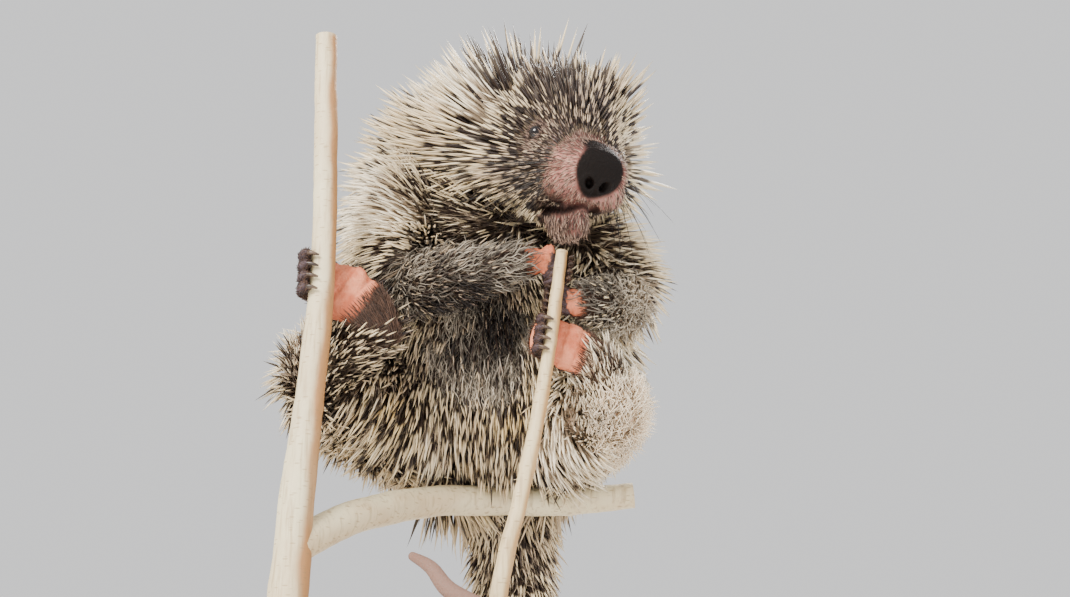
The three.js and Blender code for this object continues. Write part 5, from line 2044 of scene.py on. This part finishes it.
class Perch:
    """The cut lengths of stem that the animal grips."""

    SIDES = 36
    KNOTS: dict[str, tuple[Knot, ...]] = {
        "thick_stem": (Knot(0.18, 200, 5.0, 1.2), Knot(0.42, 300, 4.5, 1.0), Knot(0.76, 250, 3.8, 1.0),
                       Knot(0.9, 140, 3.6, 0.9)),
        "thin_stem": (Knot(0.22, 300, 2.8, 0.8), Knot(0.5, 220, 2.5, 0.7), Knot(0.72, 320, 2.4, 0.6)),
        "seat_limb": (Knot(0.3, 60, 4.5, 0.8), Knot(0.8, 200, 4.0, 0.8)),
    }

    def __init__(self, anatomy: Anatomy, finishes: Finishes) -> None:
        """Keep the anatomy, whose stems they are, and the materials."""
        self.anatomy = anatomy
        self.finishes = finishes

    def stem(self, name: str, loft: Loft, bark: Material, slot: str) -> None:
        """Make one stem with its knots and its pale cut ends, in place of its solid.

        Args:
            name: The stem's name.
            loft: Its form.
            bark: Its bark.
            slot: The name of its material slot.
        """
        fine = Loft(loft.sections, side=loft.side, steps=14, domes=(0.0, 0.0))
        obj = wrap(name, fine.rings(self.SIDES))
        points = points_of(obj)
        share, angle, _, _ = fine.locate(points)
        outward = normals_of(obj)
        body = np.abs((outward * fine.axes[(share * (len(fine.middle) - 1)).astype(int), 0]).sum(1)) < 0.6
        swell = 0.22 * mottle(points, 0.02, len(name)) + 0.12 * mottle(points, 0.006, len(name) + 1)
        length = span(np.diff(fine.middle, axis=0)).sum()
        for knot in self.KNOTS[name]:
            girth = np.angle(np.exp(1j * (angle - math.radians(knot.turn)))) * fine.reach.mean()
            gap = np.hypot(girth, (share - knot.share) * length) / (knot.radius * MM)
            swell += knot.out * np.exp(-(gap**2)) - 0.5 * knot.out * np.exp(-((gap / 0.4) ** 2))
            swell += 0.35 * np.exp(-(((share - knot.share) * length / (2.2 * MM)) ** 2))
        points += outward * (np.where(body, np.clip(swell, -0.3, 1.0), 0.0) * MM)[:, None]
        move_points(obj, points)
        # Painted shade: the stem's side facing +x takes more of the orange-brown flush, the seat limb less.
        painted_shade_side = smooth(outward[:, 0] + 0.12 * mottle(points, 0.02, 9), 0.25, 0.8)
        write_value(obj, "painted_shade_side", painted_shade_side * (0.25 if name == "seat_limb" else 1.0))
        hand_over(obj, [bark, self.finishes.cut_wood], slot, f"perch_{name}", angle=40)
        for face in obj.data.polygons:
            face.material_index = int(len(face.vertices) > 4)

    def build(self) -> None:
        """Make both upright stems and the seat limb."""
        thick, thin, seat = self.anatomy.stems
        self.stem("thick_stem", thick, self.finishes.thick_bark, "bark_thick")
        self.stem("thin_stem", thin, self.finishes.thin_bark, "bark_thin")
        self.stem("seat_limb", seat, self.finishes.thick_bark, "bark_thick")


@dataclass
class Stand:
    """The plain display stand: a wooden base and two steel rods, in millimetres."""

    size: Row = (330.0, 300.0, 18.0)
    corner: float = 26.0
    edge: float = 3.0
    rod: float = 6.0
    collar: float = 10.0
    collar_tall: float = 6.0
    rod_top: float = 92.0
    rod_edge: float = 0.8
    sharp: float = 50.0
    gap: float = 0.3
    rods: tuple[tuple[str, float, float], ...] = (("thick", -118.4, -100.0), ("thin", -12.4, -112.0))

    def build(self, finishes: Finishes) -> None:
        """Make the base and the rods."""
        self.base(finishes)
        for name, x, y in self.rods:
            self.post(name, x, y, finishes)

    def base(self, finishes: Finishes) -> None:
        """Make the base, its corners round and its edges eased."""
        wide, deep, tall = (v * MM for v in self.size)
        deselect()
        bpy.ops.mesh.primitive_cube_add(size=1.0, location=(0.0, 0.0, tall / 2))
        obj = named("base_board")
        bpy.ops.transform.resize(value=(wide, deep, tall))
        settle(obj)
        weights = obj.data.attributes.new("bevel_weight_edge", "FLOAT", "EDGE")
        points = points_of(obj)
        ends = np.array([edge.vertices[:] for edge in obj.data.edges])
        upright = np.abs(points[ends[:, 0]] - points[ends[:, 1]])[:, 2] > 0.5 * tall
        weights.data.foreach_set("value", upright.astype(np.float32))
        modify(obj, "BEVEL", width=self.corner * MM, segments=10, limit_method="WEIGHT")
        self.ease(obj, self.edge, 4)
        hand_over(obj, [finishes.wood], "base_wood", "stand_base", angle=35)

    def ease(self, obj: Object, width: float, segments: int) -> None:
        """Round an object's sharp edges."""
        modify(obj, "BEVEL", width=width * MM, segments=segments, limit_method="ANGLE",
               angle_limit=math.radians(self.sharp))

    def post(self, name: str, x: float, y: float, finishes: Finishes) -> None:
        """Make one rod with its collar.

        Args:
            name: Which rod.
            x: Its place across.
            y: Its place from front to back.
            finishes: All materials.
        """
        tall = self.size[2]
        pieces = []
        for radius, low, high, part in (
            (self.rod, tall + self.gap, self.rod_top, "rod"),
            (self.collar, tall + self.gap, tall + self.collar_tall, "collar"),
        ):
            deselect()
            bpy.ops.mesh.primitive_cylinder_add(vertices=48, radius=radius * MM, depth=(high - low) * MM,
                                                location=(x * MM, y * MM, (low + high) / 2 * MM))
            obj = settle(named(part))
            self.ease(obj, self.rod_edge, 3)
            pieces.append(obj)
        hand_over(join(f"rod_{name}", pieces), [finishes.steel], "rod_steel", f"stand_rod_{name}", angle=35)


# Studio


@dataclass(frozen=True)
class Softbox:
    """A soft light: where it stands, its width and power, and its colour."""

    name: str
    place: Row
    width: float
    power: float
    colour: Colour


@dataclass
class Studio:
    """Floor, backdrop, lights and the photo's camera, in metres."""

    camera_at: Row = (0.027, -1.0937, 0.0636)
    camera_tilt: float = 18.0
    lens: float = 36.0 * 1725 / 1070
    aim: Row = (-0.01, -0.02, 0.4)
    floor: float = 24.0
    lights: tuple[Softbox, ...] = (
        Softbox("key", (-1.0, -1.5, 1.45), 0.9, 88.0, (1.0, 0.96, 0.9)),
        Softbox("fill", (1.5, -1.2, 1.1), 0.9, 18.0, (0.98, 0.98, 1.0)),
        Softbox("rim", (0.6, 1.3, 1.8), 0.7, 50.0, (1.0, 0.98, 0.94)),
    )

    def build(self, finishes: Finishes) -> None:
        """Set the studio up."""
        lamps = [self.lamp(light) for light in self.lights]
        self.ground(finishes)
        self.world()
        self.camera()

    def ground(self, finishes: Finishes) -> Object:
        """Make the plain pale floor."""
        deselect()
        bpy.ops.mesh.primitive_grid_add(x_subdivisions=8, y_subdivisions=8, size=self.floor)
        obj = named("floor")
        obj.data.materials.append(finishes.paper)
        return obj

    def lamp(self, light: Softbox) -> Object:
        """Add one softbox turned to the animal."""
        deselect()
        turn = (Vector(self.aim) - Vector(light.place)).to_track_quat("-Z", "Y").to_euler()
        bpy.ops.object.light_add(type="AREA", location=light.place, rotation=turn)
        lamp = bpy.context.object
        lamp.name = light.name
        lamp.data.size = light.width
        lamp.data.energy = light.power
        lamp.data.color = light.colour
        return lamp

    def world(self) -> None:
        """Set the even light from all round."""
        world = bpy.data.worlds.new("studio")
        bpy.context.scene.world = world
        world.use_nodes = True
        back = world.node_tree.nodes["Background"]
        back.inputs["Color"].default_value = (0.97, 0.97, 0.98, 1.0)
        back.inputs["Strength"].default_value = 1.0

    def camera(self) -> None:
        """Put the camera where the photo's stood."""
        deselect()
        turn = (math.radians(90.0 + self.camera_tilt), 0.0, 0.0)
        bpy.ops.object.camera_add(location=self.camera_at, rotation=turn)
        camera = bpy.context.object
        camera.name = "photo_camera"
        camera.data.sensor_width = 36.0
        camera.data.lens = self.lens
        bpy.context.scene.camera = camera


def main() -> None:
    """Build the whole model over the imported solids."""
    logging.basicConfig(level=logging.INFO, format="%(name)s: %(message)s")
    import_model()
    deselect()
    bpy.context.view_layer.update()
    finishes = Finishes()
    anatomy = Anatomy(BodyPlan())
    skin = Skin(anatomy, SkinPlan())
    skin.build(finishes)
    Eyes(anatomy.plan.head).build(finishes)
    Claws(anatomy).build(finishes)
    Coat(skin, Atlas(anatomy), finishes).build()
    Perch(anatomy, finishes).build()
    Stand().build(finishes)
    Studio().build(finishes)


if __name__ == "__main__":
    main()
